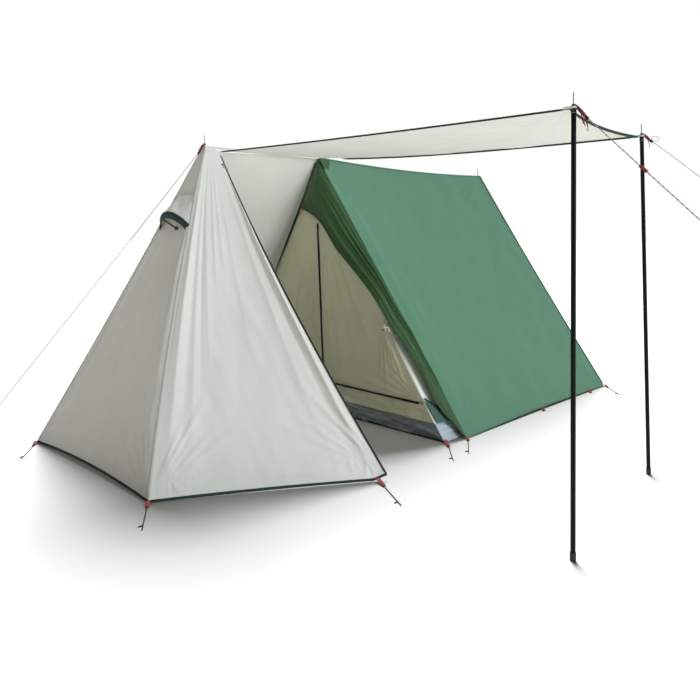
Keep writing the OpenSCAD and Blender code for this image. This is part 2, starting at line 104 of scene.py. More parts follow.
FRONT_GUY = [
    point(FRONT_X - 0.040, 0, 1.655), point(FRONT_X - 0.350, 0, 1.290), point(FRONT_X - 0.700, 0, 0.885),
    point(FRONT_X - 1.100, 0, 0.422), point(FRONT_X - 1.415, 0, 0.058), point(FRONT_X - 1.440, 0, 0.026),
]
AWNING_GUY_1 = [
    point(-1.680, -2.245, 1.617), point(-1.688, -2.350, 1.515), point(-1.697, -2.480, 1.390),
    point(-1.706, -2.620, 1.255), point(-1.712, -2.700, 1.178),
]
AWNING_GUY_2 = [
    point(-0.676, -2.115, 1.630), point(-0.670, -2.190, 1.565),
    point(-0.664, -2.270, 1.495), point(-0.657, -2.365, 1.411),
]
GUY_D = 0.004

# ---------------------------------------------------------------- camera

CAMERA_AT = (-4.130, -3.371, 1.220)
CAMERA_HEADING = -45.87
CAMERA_LENS, CAMERA_SENSOR, CAMERA_SHIFT = 35.18, 36, -0.174


def make_camera():
    data = bpy.data.cameras.new("camera")
    data.lens = CAMERA_LENS
    data.sensor_width = CAMERA_SENSOR
    data.shift_y = CAMERA_SHIFT
    camera = bpy.data.objects.new("camera", data)
    camera.location = CAMERA_AT
    camera.rotation_euler = (math.pi / 2, 0, math.radians(CAMERA_HEADING))
    bpy.context.scene.collection.objects.link(camera)
    bpy.context.scene.camera = camera


make_camera()

# ---------------------------------------------------------------- materials

MATERIALS = {}
TWILL_ALONG, TWILL_ACROSS = 0.0016, 0.0011
STITCH_HALF_W, STITCH_SHARE = 0.0007, 0.66


class Nodes:
    """A new material's node tree, with short names for what is used here."""

    def __init__(self, name):
        MATERIALS[name] = material = bpy.data.materials.new(name)
        material.use_nodes = True
        self.tree = material.node_tree
        self.shader = self.tree.nodes["Principled BSDF"]
        self.output = self.tree.nodes["Material Output"]
        place = self.add("ShaderNodeTexCoord").outputs
        self.uv, self.place = place["UV"], place["Object"]

    def add(self, kind, **values):
        node = self.tree.nodes.new(kind)
        for key, value in values.items():
            setattr(node, key, value)
        return node

    def feed(self, socket, value):
        """A socket takes a number, a colour or another node's output."""
        if isinstance(value, tuple):
            socket.default_value = (*value, 1)
        elif isinstance(value, (int, float)):
            socket.default_value = value
        elif value is not None:
            self.tree.links.new(value, socket)

    def look(self, **inputs):
        for name, value in inputs.items():
            self.feed(self.shader.inputs[SHADER_INPUTS[name]], value)

    def math(self, operation, a, b=None):
        node = self.add("ShaderNodeMath", operation=operation)
        for socket, value in zip(node.inputs, (a, b)):
            self.feed(socket, value)
        return node.outputs[0]

    def noise(self, coordinates, scale, detail=3.0, stretch=(1, 1, 1)):
        mapping = self.add("ShaderNodeMapping")
        mapping.inputs["Scale"].default_value = stretch
        self.feed(mapping.inputs["Vector"], coordinates)
        node = self.add("ShaderNodeTexNoise")
        self.feed(node.inputs["Scale"], scale)
        self.feed(node.inputs["Detail"], detail)
        self.feed(node.inputs["Vector"], mapping.outputs[0])
        return node.outputs["Fac"]

    def waves(self, coordinates, period, axis):
        """Bands of that period across one axis of the coordinates."""
        node = self.add("ShaderNodeTexWave", wave_type="BANDS", bands_direction=axis)
        self.feed(node.inputs["Scale"], math.pi / 10 / period)
        self.feed(node.inputs["Vector"], coordinates)
        return node.outputs["Fac"]

    def bump(self, height, distance, strength, under=None):
        node = self.add("ShaderNodeBump")
        values = {"Distance": distance, "Strength": strength, "Height": height, "Normal": under}
        for name, value in values.items():
            self.feed(node.inputs[name], value)
        return node.outputs["Normal"]

    def blend(self, factor, dark, light):
        node = self.add("ShaderNodeMix", data_type="RGBA")
        for socket, value in (("Factor", factor), (6, dark), (7, light)):
            self.feed(node.inputs[socket], value)
        return node.outputs[2]

    def let_through(self, colour, normal, share):
        """Mixes in light that comes through from behind."""
        glow = self.add("ShaderNodeBsdfTranslucent")
        self.feed(glow.inputs["Color"], colour)
        self.feed(glow.inputs["Normal"], normal)
        both = self.add("ShaderNodeMixShader")
        for socket, value in enumerate((share, self.shader.outputs[0], glow.outputs[0])):
            self.feed(both.inputs[socket], value)
        self.feed(self.output.inputs["Surface"], both.outputs[0])


SHADER_INPUTS = {
    "colour": "Base Color", "normal": "Normal", "rough": "Roughness", "metal": "Metallic",
    "sheen": "Sheen Weight", "sheen_rough": "Sheen Roughness", "shine": "Specular IOR Level",
}


def shade(colour, amount):
    return tuple(min(1.0, c * amount) for c in colour)


def fabric(name, colour, rough=0.62, sheen=0.12, through=0.0, vary=0.07, crinkle=0.0016, weave=0.0012):
    """Woven cloth: two thread directions, soft creases, slow changes of tone and light coming through. Part
    of the tone is painted shade that follows the creases: darker where they are low, lighter on their
    ridges.
    """
    n = Nodes(name)
    threads = n.math("ADD", n.waves(n.uv, weave, "X"), n.waves(n.uv, weave, "Y"))
    creases = n.noise(n.uv, 9, detail=5, stretch=(1.0, 0.35, 1))
    normal = n.bump(creases, crinkle * 6, 0.35)
    normal = n.bump(n.noise(n.place, 38, detail=4), crinkle, 0.45, under=normal)
    normal = n.bump(threads, 0.00025, 0.5, under=normal)
    # painted shade: four tenths of the tone follows the crease bump, darker in its low parts and lighter on
    # its ridges; the rest is slow random tone
    tone_and_crease_shade = n.math("ADD", n.math("MULTIPLY", n.noise(n.place, 2.2), 0.6), n.math("MULTIPLY", creases, 0.4))
    mixed = n.blend(tone_and_crease_shade, shade(colour, 1 - vary * 2), shade(colour, 1 + vary * 2))
    fleck = n.math("MULTIPLY", threads, 0.5)
    mixed = n.blend(fleck, n.blend(fleck, shade(colour, 0.9), mixed), mixed)
    roughness = n.math("ADD", n.math("MULTIPLY", creases, 0.2), rough - 0.1)
    n.look(colour=mixed, normal=normal, rough=roughness, sheen=sheen, sheen_rough=0.4, shine=0.35)
    if through:
        n.let_through(mixed, normal, through)


def webbing(name, colour, thread, pitch=0.0045, row=0.0045, gap=None):
    """Narrow woven tape: UV's x runs along it and y across it, in metres, with two rows of stitches."""
    n = Nodes(name)
    split = n.add("ShaderNodeSeparateXYZ")
    n.feed(split.inputs[0], n.uv)
    twill = n.math("MULTIPLY", n.waves(n.uv, TWILL_ALONG, "X"), n.waves(n.uv, TWILL_ACROSS, "Y"))
    from_middle = n.math("ABSOLUTE", split.outputs[1])
    if gap:
        step = n.math("SUBTRACT", n.math("FRACT", n.math("DIVIDE", from_middle, gap)), 0.5)
        off_row = n.math("MULTIPLY", n.math("ABSOLUTE", step), gap)
    else:
        off_row = n.math("ABSOLUTE", n.math("SUBTRACT", from_middle, row))
    in_row = n.math("LESS_THAN", off_row, STITCH_HALF_W)
    along = n.math("FRACT", n.math("DIVIDE", split.outputs[0], pitch))
    stitch = n.math("MULTIPLY", in_row, n.math("LESS_THAN", along, STITCH_SHARE))
    wear = n.noise(n.place, 30)
    ground = n.blend(wear, shade(colour, 0.78), shade(colour, 1.25))
    ground = n.blend(twill, shade(colour, 0.8), ground)
    height = n.math("ADD", n.math("MULTIPLY", twill, 0.4), stitch)
    n.look(
        colour=n.blend(stitch, ground, thread), normal=n.bump(height, 0.0005, 0.6),
        rough=n.math("ADD", n.math("MULTIPLY", wear, 0.2), 0.55),
        sheen=0.2 if max(colour) > 0.1 else 0.03, shine=0.3,
    )


def rope(name, colour, fleck, turn=0.006):
    """Braided cord: diagonal strands over soft wear."""
    n = Nodes(name)
    strands = n.waves(n.place, turn, "DIAGONAL")
    roughness = n.math("ADD", n.math("MULTIPLY", n.noise(n.place, 60), 0.25), 0.5)
    n.look(colour=n.blend(strands, colour, fleck), normal=n.bump(strands, 0.0006, 0.7), rough=roughness)


def hard(name, colour, rough, metal=0.0, grain=220.0, dent=0.0002, shine=0.5):
    """Painted, plated or moulded surfaces, with a fine grain and rubbed patches."""
    n = Nodes(name)
    rub = n.noise(n.place, 7, detail=6, stretch=(1, 1, 0.4))
    fine = n.noise(n.place, grain, detail=2)
    n.look(
        colour=n.blend(rub, shade(colour, 0.75), shade(colour, 1.35)), normal=n.bump(fine, dent, 0.5),
        rough=n.math("ADD", n.math("MULTIPLY", rub, 0.25), rough - 0.12), metal=metal, shine=shine,
    )


PALE = (0.680, 0.672, 0.612)
GREEN = (0.087, 0.228, 0.136)
OLIVE = (0.88, 0.875, 0.615)

fabric("pale_cloth", PALE, through=0.12)
# painted light: the awning is the pale cloth made 12 % lighter, for the light that comes through it and up
# from the floor
fabric("awning_cloth", shade(PALE, 1.12), through=0.29)
fabric("pale_band", shade(PALE, 1.05), through=0.08)
fabric("green_fly", GREEN, rough=0.52, sheen=0.2, through=0.06, vary=0.05)
fabric("green_facing", (0.030, 0.090, 0.022), rough=0.38, sheen=0.25, through=0.10)
# painted light: the inner tent's walls are the same cloth as its olive front, made lighter and whiter for
# the light that falls on them
fabric("cream_cloth", (0.93, 0.92, 0.83), through=0.12)
fabric("olive_cloth", OLIVE, through=0.18, sheen=0.2)
fabric("dark_cloth", (0.045, 0.115, 0.085), rough=0.5)
fabric("groundsheet", (0.24, 0.275, 0.30), rough=0.42, sheen=0.0, crinkle=0.003)
# painted light: the groundsheet's own grey made about twice as light and bluer, for the strong light on its
# sides
fabric("silver_cloth", (0.465, 0.525, 0.585), rough=0.34, sheen=0.0, crinkle=0.003)
webbing("pale_seam", shade(PALE, 0.98), shade(PALE, 0.7), row=0.0042)
webbing("dark_binding", (0.008, 0.030, 0.025), (0.02, 0.055, 0.05))
webbing("black_binding", (0.008, 0.010, 0.010), (0.03, 0.03, 0.03))
webbing("zip_tape", (0.010, 0.010, 0.011), (0.03, 0.03, 0.03), row=0.0075)
webbing("green_band", shade(GREEN, 0.8), shade(GREEN, 1.5))
webbing("facing_binding", (0.012, 0.045, 0.018), (0.02, 0.07, 0.03))
# painted highlight: a light green for the line of light that the fly's folded front edge catches
webbing("fly_edge_band", (0.15, 0.31, 0.18), (0.3, 0.5, 0.35))
webbing("vent_webbing", (0.004, 0.022, 0.018), (0.03, 0.09, 0.075), gap=0.008)
webbing("cream_seam", (0.74, 0.72, 0.60), (0.5, 0.48, 0.38), row=0.0042)
webbing("red_webbing", (0.30, 0.005, 0.015), (0.5, 0.08, 0.08))
rope("red_cord", (0.06, 0.004, 0.010), (0.27, 0.012, 0.03), turn=0.008)
rope("grey_cord", (0.20, 0.205, 0.21), (0.46, 0.465, 0.47))
rope("light_cord", (0.46, 0.40, 0.41), (0.72, 0.69, 0.70))
rope("white_cord", (0.62, 0.60, 0.52), (0.86, 0.84, 0.76), turn=0.007)
rope("mixed_cord", (0.26, 0.05, 0.08), (0.55, 0.46, 0.47), turn=0.016)
hard("zip_coil", (0.012, 0.012, 0.013), 0.42)
hard("zip_metal", (0.02, 0.02, 0.022), 0.35, metal=0.6)
hard("pole", (0.002, 0.003, 0.004), 0.36, dent=0.00001, shine=0.12)
hard("pole_foot", (0.012, 0.012, 0.012), 0.7, dent=0.0004)
hard("steel", (0.55, 0.56, 0.58), 0.3, metal=1.0)
hard("peg_steel", (0.03, 0.03, 0.033), 0.38, metal=0.7)
hard("red_plastic", (0.17, 0.006, 0.016), 0.4, grain=90)
hard("black_plastic", (0.012, 0.012, 0.013), 0.45, grain=120)

# ---------------------------------------------------------------- shapes


def piece_name(name):
    """A CAD node's name is taken, so the piece that stands for it has a longer one."""
    return name + "_made" if name in NODES else name


class Shape:
    """Collects grids of points into one mesh, with UVs in metres."""

    def __init__(self):
        self.points, self.faces, self.loops, self.count = [], [], [], 0

    def grid(self, rows, uv, around=False, capped=False):
        """rows is (r, c, 3). around joins the last column to the first; capped closes both ends."""
        r, c = rows.shape[:2]
        index = np.arange(r * c).reshape(r, c) + self.count
        right = np.roll(index, -1, 1) if around else index[:, 1:]
        left = index if around else index[:, :-1]
        quads = np.stack([left[:-1], right[:-1], right[1:], left[1:]], -1).reshape(-1, 4)
        uv_right = np.roll(uv, -1, 1) if around else uv[:, 1:]
        uv_left = uv if around else uv[:, :-1]
        loops = np.stack([uv_left[:-1], uv_right[:-1], uv_right[1:], uv_left[1:]], -2).reshape(-1, 2)
        self.faces += quads.tolist()
        self.loops += loops.tolist()
        if capped:
            for ring, k in ((index[0][::-1], 0), (index[-1], -1)):
                self.faces.append(ring.tolist())
                self.loops += [uv[k, 0].tolist()] * c
        self.points.append(rows.reshape(-1, 3))
        self.count += r * c

    def strip(self, line, side, width, thick, narrow=0.0):
        """A flat closed strip; side points across the line. It narrows over its last narrow metres."""
        line = np.asarray(line, float)
        side = np.broadcast_to(side, line.shape)
        ahead = np.gradient(line, axis=0)
        side = side - ahead * ((side * ahead).sum(1) / (ahead * ahead).sum(1))[:, None]
        side = side / np.linalg.norm(side, axis=1)[:, None]
        up = np.cross(ahead, side)
        up = up / np.linalg.norm(up, axis=1)[:, None]
        w, t = width / 2, thick / 2
        bevel = min(t, w * 0.3)
        upper = [(-w, 0), (-w + bevel, t), (0, t * 1.1), (w - bevel, t)]
        ring = upper + [(-a, -b) for a, b in upper]
        length = lengths(line)
        to_end = np.minimum(length, length[-1] - length)
        share = 0.3 + 0.7 * smooth_step(to_end / narrow) if narrow else np.ones(len(line))
        side, up = side * share[:, None], up * np.sqrt(share)[:, None]
        rows = np.stack([line + side * a + up * b for a, b in ring], 1)
        uv = np.stack([np.stack([length, np.full(len(line), a)], -1) for a, _ in ring], 1)
        self.grid(rows, uv, around=True, capped=True)

    def along(self, curve, side, width, thick, start=0.0, end=1.0, count=60, lift=(0, 0, 0)):
        """A strip along part of a curve, moved by lift."""
        self.strip(curve(steps(count, start, end)) + np.asarray(lift, float), side, width, thick)

    def tube(self, line, radius, sides=8):
        """A closed round tube; radius is one number or one for each point."""
        line = np.asarray(line, float)
        radius = np.broadcast_to(np.asarray(radius, float), (len(line),))
        ahead = np.gradient(line, axis=0)
        ahead /= np.linalg.norm(ahead, axis=1)[:, None]
        u = np.cross(ahead[0], [0.31, 0.17, 0.93])
        us = []
        for d in ahead:
            u = unit(u - d * (u @ d))
            us.append(u)
        us = np.array(us)
        vs = np.cross(ahead, us)
        angles = np.arange(sides) * TURN / sides
        rows = np.stack([line + (us * math.cos(a) + vs * math.sin(a)) * radius[:, None] for a in angles], 1)
        length = lengths(line)
        uv = np.stack([np.stack([length, np.full(len(line), a * radius.mean())], -1) for a in angles], 1)
        self.grid(rows, uv, around=True, capped=True)

    def bead(self, at, ahead, along, radius, half, least=0.05, sides=10):
        """A tube from at, over these distances ahead, that is round towards half its length."""
        self.tube([at + ahead * x for x in along], radius * rounded(along / half, least), sides)

    def build(self, name, material, smooth=True):
        name = piece_name(name)
        mesh = bpy.data.meshes.new(name)
        mesh.from_pydata(np.concatenate(self.points).tolist(), [], self.faces)
        layer = mesh.uv_layers.new(name="metres")
        layer.data.foreach_set("uv", np.array(self.loops, np.float32).ravel())
        mesh.polygons.foreach_set("use_smooth", [smooth] * len(mesh.polygons))
        mesh.materials.append(MATERIALS[material])
        mesh.update()
        piece = bpy.data.objects.new(name, mesh)
        bpy.context.scene.collection.objects.link(piece)
        return piece


def lengths(line):
    """Distance along a line of points."""
    return np.concatenate([[0], np.cumsum(np.linalg.norm(np.diff(line, axis=0), axis=1))])


def rounded(x, least):
    """How wide a ball is at x, from -1 to 1."""
    return np.sqrt(np.clip(1 - x * x, least, 1))


def circle(centre, u, v, angles):
    return [centre + u * math.cos(a) + v * math.sin(a) for a in angles]


def edge(a, b, sag=(0, 0, 0), skew=0.0):
    """A line from a to b that is off by sag at its middle; skew moves its deepest point towards b."""
    a, b, sag = (np.asarray(p, float) for p in (a, b, sag))

    def at(t):
        t = np.asarray(t, float)[..., None]
        return a + (b - a) * t + sag * 4 * t * (1 - t) * (1 + skew * (2 * t - 1))

    return at


def through_points(*corners):
    """A smooth line through three or more points, as a function of 0 to 1 by their distance."""
    corners = np.array(corners, float)
    at_corner = lengths(corners) / lengths(corners)[-1]
    slope = np.gradient(corners, at_corner, axis=0)

    def at(t):
        t = np.asarray(t, float)
        k = np.clip(np.searchsorted(at_corner, t, side="right") - 1, 0, len(corners) - 2)
        span = (at_corner[k + 1] - at_corner[k])[..., None]
        s = ((t - at_corner[k])[..., None]) / span
        h00, h10 = 2 * s**3 - 3 * s**2 + 1, s**3 - 2 * s**2 + s
        h01, h11 = -2 * s**3 + 3 * s**2, s**3 - s**2
        return h00 * corners[k] + h10 * span * slope[k] + h01 * corners[k + 1] + h11 * span * slope[k + 1]

    return at


def mirrored(curve):
    """The same edge on the far side, run the other way."""
    return lambda t: flip(curve(1 - np.asarray(t, float)))


def far_side(curve):
    return lambda t: flip(curve(t))


def grid_area(p):
    """The area of a grid of points."""
    a, b = p[1:, 1:] - p[:-1, :-1], p[1:, :-1] - p[:-1, 1:]
    return float(np.linalg.norm(np.cross(a, b), axis=2).sum() / 2)


def smooth_step(x):
    x = np.clip(x, 0, 1)
    return x * x * (3 - 2 * x)


class Panel:
    """A sheet of cloth between four edges: u runs to the right and v up, as its outer side is seen."""

    def __init__(self, bottom, top, left, right, columns, rows):
        u, v = np.meshgrid(steps(columns), steps(rows))
        b, t, l, r = bottom(u), top(u), left(v), right(v)
        u3, v3 = u[..., None], v[..., None]
        corners = (
            (1 - u3) * (1 - v3) * bottom(0.0) + u3 * (1 - v3) * bottom(1.0)
            + (1 - u3) * v3 * top(0.0) + u3 * v3 * top(1.0)
        )
        self.u, self.v = u, v
        self.points = (1 - v3) * b + v3 * t + (1 - u3) * l + u3 * r - corners
        across = self.points[0, -1] - self.points[0, 0]
        up = self.points[-1].mean(0) - self.points[0].mean(0)
        self.across = unit(across)
        self.normal = unit(np.cross(across, up))
        self.up = np.cross(self.normal, self.across)
        self.origin = self.points[0, 0].copy()
        self.wide = np.linalg.norm(np.diff(self.points, axis=1), axis=2).sum(1)
        self.height = np.zeros_like(u)

    def area(self):
        return grid_area(self.points)

    def cut(self):
        """The rectangle that the panel was cut from."""
        width = float(np.linalg.norm(np.diff(self.points, axis=1), axis=2).sum(1).max())
        length = float(np.linalg.norm(np.diff(self.points, axis=0), axis=2).sum(0).max())
        return max(width, self.area() / length), length

    def in_plane(self):
        d = self.points - self.origin
        return d @ self.across, d @ self.up

    def rib(self, at, width, height, start=0.0, end=1.0, lean=0.0, steep=1.8):
        """A long fold up the panel at u = at; it is steep times wider on its right."""
        off = self.u - at - lean * (self.v - start)
        along = np.clip((self.v - start) / (end - start), 0, 1)
        fade = np.sin(math.pi * along) ** 0.8
        spread = np.where(off > 0, width * steep, width)
        self.height += height * fade * np.exp(-(np.abs(off / spread) ** 1.35))
        return self

    def ribs(self, *ribs):
        """Several folds, each with rib's values in rib's order."""
        for values in ribs:
            self.rib(*values)
        return self

    def band(self, at, width, height, start=0.0, end=1.0, lean=0.0):
        """The same across the panel at v = at."""
        off = self.v - at - lean * (self.u - start)
        along = np.clip((self.u - start) / (end - start), 0, 1)
        self.height += height * np.sin(math.pi * along) ** 0.8 * np.exp(-((off / width) ** 2))
        return self

    def fan(self, corner, spokes, reach, height, narrow=2.6):
        """Creases that run out of a corner at these angles from the panel's bottom edge, in degrees."""
        x, y = self.in_plane()
        d = np.asarray(corner, float) - self.origin
        x, y = x - d @ self.across, y - d @ self.up
        distance, angle = np.hypot(x, y), np.degrees(np.arctan2(y, x))
        for k, spoke in enumerate(spokes):
            s = np.clip(distance / (reach * (1 - 0.17 * (k % 3))), 0, 1)
            rise = 6.75 * s * (1 - s) ** 2
            self.height += height * (1 - 0.2 * (k % 2)) * rise * np.exp(-(((angle - spoke) / narrow) ** 2))
        return self

    def uneven(self, amount, size, seed, stretch=1.0):
        """Slow dents and swells, stretch times longer up the panel than across it."""
        draw = np.random.default_rng(seed)
        x, y = self.in_plane()
        total = np.zeros_like(x)
        for _ in range(9):
            fx, fy = draw.normal(0, 1, 2) * 2 * math.pi / size
            total += np.cos(fx * x + fy * y / stretch + draw.uniform(0, 2 * math.pi))
        self.height += amount * total / 3
        return self

    def billow(self, depth):
        """Pulls the middle in, or pushes it out if depth is negative."""
        self.height -= depth * 16 * self.u * (1 - self.u) * self.v * (1 - self.v)
        return self

    def press(self, hold, margin):
        """Moves the points out by the folds, which fade out at the edges that are held."""
        mask = np.ones_like(self.u)
        for side, distance in (("l", self.u), ("r", 1 - self.u), ("b", self.v), ("t", 1 - self.v)):
            if side in hold:
                mask = mask * smooth_step(distance / margin)
        wide = self.wide[:, None]
        mask = mask * np.clip(wide / (0.35 * wide.max()), 0.15, 1)
        normal = np.cross(np.gradient(self.points, axis=1), np.gradient(self.points, axis=0))
        size = np.linalg.norm(normal, axis=2)[..., None]
        normal = np.where(size > 1e-9, normal / np.maximum(size, 1e-9), self.normal)
        self.points = self.points + normal * (self.height * mask)[..., None]

    def uv(self):
        return np.stack(self.in_plane(), -1)


def panel_between(corners, columns, rows, top=(0, 0, 0), sides=(0, 0, 0)):
    """A panel with straight edges, from its lower left corner round to its upper left one; some may sag."""
    low_left, low_right, high_right, high_left = corners
    return Panel(edge(low_left, low_right), edge(high_left, high_right, top),
                 edge(low_left, high_left, sides), edge(low_right, high_right, sides), columns, rows)


def panel_from_sides(left, right, columns, rows):
    """A panel whose lower and upper edges run straight between its two sides."""
    return Panel(edge(left(0.0), right(0.0)), edge(left(1.0), right(1.0)), left, right, columns, rows)


def place(piece, slot, body="tent"):
    """A piece stands for the CAD node of its name, which is hidden, and may ride on a body; slot is not
    used.
    """
    node = piece.name.removesuffix("_made")
    if node in NODES:
        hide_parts(node)
    if body:
        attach(piece, body)
    return piece


def put(shape, name, material, slot, body="tent"):
    return place(shape.build(name, material), slot, body)


def cloth(
    name, panels, material, rests_on=(), held="stretched", hold="lrbt", margin=0.05,
    flat=None, strip=None, slot=None, body="tent",
):
    """Builds one or more panels into one piece; strip is the width of a long one, cut to its area."""
    panels = panels if isinstance(panels, list) else [panels]
    shape = Shape()
    for panel in panels:
        panel.press(hold, margin)
        shape.grid(panel.points, panel.uv())
    area = sum(panel.area() for panel in panels)
    flat = (strip, area / strip) if strip else flat or panels[0].cut()
    piece = shape.build(name, material)
    return place(piece, slot or material, body)


# ---------------------------------------------------------------- guy lines


def guy_line(name, route, material):
    """A taut line of one smooth open spline along the same points as its CAD tube."""
    fine = through_points(*route)(steps(24))
    curve = bpy.data.curves.new(name, "CURVE")
    curve.dimensions = "3D"
    curve.bevel_depth = GUY_D / 2
    curve.bevel_resolution = 3
    curve.use_fill_caps = True
    spline = curve.splines.new("POLY")
    spline.points.add(len(fine) - 1)
    spline.points.foreach_set("co", np.column_stack([fine, np.ones(len(fine))]).ravel())
    curve.materials.append(MATERIALS[material])
    piece = bpy.data.objects.new(piece_name(name), curve)
    bpy.context.scene.collection.objects.link(piece)
    place(piece, "guy_cord")


def end_loop(name, route):
    """The small knotted loop that a line ends in."""
    at, ahead = route[-1], unit(route[-1] - route[-2])
    side = unit(np.cross(ahead, UP))
    shape = Shape()
    turn = steps(30, 0, TURN * 0.97)
    shape.tube(circle(at + ahead * 0.018, -ahead * 0.016, side * 0.008, turn), 0.0017, 10)
    knot = 0.0042 * rounded(steps(7, -0.9, 0.9), 0) + 0.0008
    shape.tube([at + ahead * x for x in steps(7, -0.006, 0.006)], knot, 10)
    return put(shape, name, "grey_cord", "guy_cord")


LOOP_1 = end_loop("awning_guy_loop_1", AWNING_GUY_1)
LOOP_2 = end_loop("awning_guy_loop_2", AWNING_GUY_2)
guy_line("front_guy_line", FRONT_GUY, "grey_cord")
guy_line("awning_guy_line_1", AWNING_GUY_1, "mixed_cord")
guy_line("awning_guy_line_2", AWNING_GUY_2, "light_cord")

# ---------------------------------------------------------------- porch

PORCH_HELD = ("front_pole_upper", "vestibule_hem")
SEAM_THICK, BINDING_THICK, TAPE_THICK = 0.0022, 0.003, 0.0016
SEAM = {"width": 0.016, "thick": SEAM_THICK, "start": 0.01}
HEM = {"thick": BINDING_THICK, "start": 0.004, "end": 0.996}
HEM_UP = 0.004
RIDGE_DROP = 0.012
EYELET = point(0, 0.012, 0)
HIP_NEAR = edge(HEM_NEAR, FRONT_APEX - EYELET, sag=(0, 0.040, 0))
HIP_FAR = edge(flip(HEM_NEAR), FRONT_APEX + EYELET, sag=(0, -0.020, 0))
END_HEM = edge(flip(HEM_NEAR), HEM_NEAR, sag=(0.012, 0, 0.018))


def near_hem(t):
    """The hem lies on the ground and turns up at its free corner."""
    t = np.asarray(t, float)
    along = edge(HEM_NEAR, SIDE_NEAR * point(1, 1, 0) + UP * HEM_NEAR[2], sag=(0.004, 0.010, 0.003))(t)
    return along + UP * (SIDE_NEAR[2] - HEM_NEAR[2]) * smooth_step((t - 0.93) / 0.07)[..., None]


FAR_HEM = edge(flip(SIDE_NEAR), flip(HEM_NEAR), sag=(0.004, -0.010, -0.006))
BACK_HEM = edge(BACK_FAR, flip(SIDE_NEAR), sag=(0, -0.012, 0.004))
NEAR_NORMAL = unit(np.cross(SIDE_NEAR - HEM_NEAR, DOOR_TOP - SIDE_NEAR))
DOOR_INWARD = unit(np.cross(NEAR_NORMAL, DOOR_TOP - SIDE_NEAR))
DOOR_EDGE = edge(SIDE_NEAR, DOOR_TOP, sag=DOOR_INWARD * 0.034, skew=0.15)
FAR_DOOR_EDGE = edge(flip(SIDE_NEAR), flip(DOOR_TOP), sag=flip(DOOR_INWARD) * 0.020)
FAR_FRONT_EDGE = edge(BACK_FAR, WALL_APEX + point(0.020, 0.006, 0), sag=(0.004, -0.010, 0))


def porch_panel(name, panel, rests_on=PORCH_HELD):
    cloth(name, panel, "pale_cloth", rests_on, margin=0.03)


def porch_end():
    panel = Panel(END_HEM, edge(FRONT_APEX + EYELET, FRONT_APEX - EYELET), HIP_FAR, HIP_NEAR, 110, 120)
    panel.billow(0.014)
    panel.ribs(
        (0.945, 0.044, 0.017, 0.005, 0.995, 0, 1.0), (0.86, 0.034, 0.008, 0.03, 0.75, -0.02),
        (0.76, 0.040, 0.006, 0.10, 0.80), (0.66, 0.05, 0.004, 0.2, 0.85), (0.40, 0.05, 0.004, 0.15, 0.75),
        (0.22, 0.05, 0.004, 0.3, 0.9), (0.07, 0.03, 0.006, 0.05, 0.9),
    )
    panel.fan(HEM_NEAR, (112, 119, 127, 137, 150, 163), 0.75, 0.007)
    panel.fan(flip(HEM_NEAR), (66, 56, 45, 30, 14), 0.50, 0.005)
    panel.uneven(0.0022, 0.42, 3, 2.5).uneven(0.0008, 0.12, 4, 3)
    porch_panel("vestibule_end_panel", panel)


def porch_near():
    panel = Panel(near_hem, edge(FRONT_APEX - EYELET, DOOR_TOP), HIP_NEAR, DOOR_EDGE, 130, 130)
    panel.billow(0.016)
    panel.ribs(
        (0.066, 0.036, 0.023, 0.005, 0.995, 0, 1.6), (0.170, 0.024, 0.008, 0.03, 0.92),
        (0.122, 0.018, -0.004, 0.05, 0.85, 0.02), (0.215, 0.018, -0.006, 0.22, 0.985, -0.01, 1.0),
        (0.275, 0.022, 0.005, 0.24, 0.985, -0.03), (0.36, 0.018, 0.005, 0.50, 0.985, 0.03),
        (0.46, 0.03, 0.005, 0.55, 0.985), (0.56, 0.035, 0.004, 0.30, 0.90, 0.05),
        (0.80, 0.036, 0.008, 0.03, 0.93, 0.02), (0.952, 0.017, 0.024, 0.005, 0.99, 0, 1.0),
        (0.905, 0.016, -0.007, 0.03, 0.95, 0, 1.0),
    )
    panel.fan(HEM_NEAR, (12, 20, 28, 36, 44, 52, 59, 65), 0.62, 0.0085, narrow=1.8)
    panel.fan(SIDE_NEAR, (173, 165, 157, 149, 142, 135, 128, 121), 0.72, 0.012, narrow=1.8)
    panel.uneven(0.0020, 0.40, 5, 2.5).uneven(0.0008, 0.11, 6, 3)
    porch_panel("vestibule_near_panel", panel)


def porch_far():
    panel = Panel(FAR_HEM, edge(flip(DOOR_TOP), FRONT_APEX + EYELET), FAR_DOOR_EDGE, HIP_FAR, 90, 90)
    panel.billow(0.016)
    panel.ribs((0.10, 0.03, 0.010, 0.05, 0.95), (0.30, 0.04, 0.006, 0.3, 0.97),
               (0.62, 0.04, 0.006, 0.35, 0.97), (0.9, 0.03, 0.010, 0.05, 0.95))
    panel.fan(flip(SIDE_NEAR), (14, 25, 37, 50), 0.6, 0.006)
    panel.fan(flip(HEM_NEAR), (166, 154, 142, 130), 0.6, 0.006)
    panel.uneven(0.0022, 0.42, 7, 2.5)
    porch_panel("vestibule_far_panel", panel)
    top = edge(WALL_APEX + point(0.020, 0.006, 0), flip(DOOR_TOP))
    door = Panel(BACK_HEM, top, FAR_FRONT_EDGE, FAR_DOOR_EDGE, 90, 90)
    door.billow(0.020)
    door.ribs((0.12, 0.04, 0.008, 0.1, 0.95), (0.5, 0.06, 0.005, 0.2, 0.9), (0.88, 0.04, 0.008, 0.1, 0.9))
    door.fan(BACK_FAR, (20, 34, 48, 62), 0.6, 0.006).fan(flip(SIDE_NEAR), (160, 147, 133, 118), 0.6, 0.006)
    door.uneven(0.0025, 0.45, 8, 2.0)
    porch_panel("vestibule_far_door", door, ("vestibule_ridge_band", "vestibule_hem"))


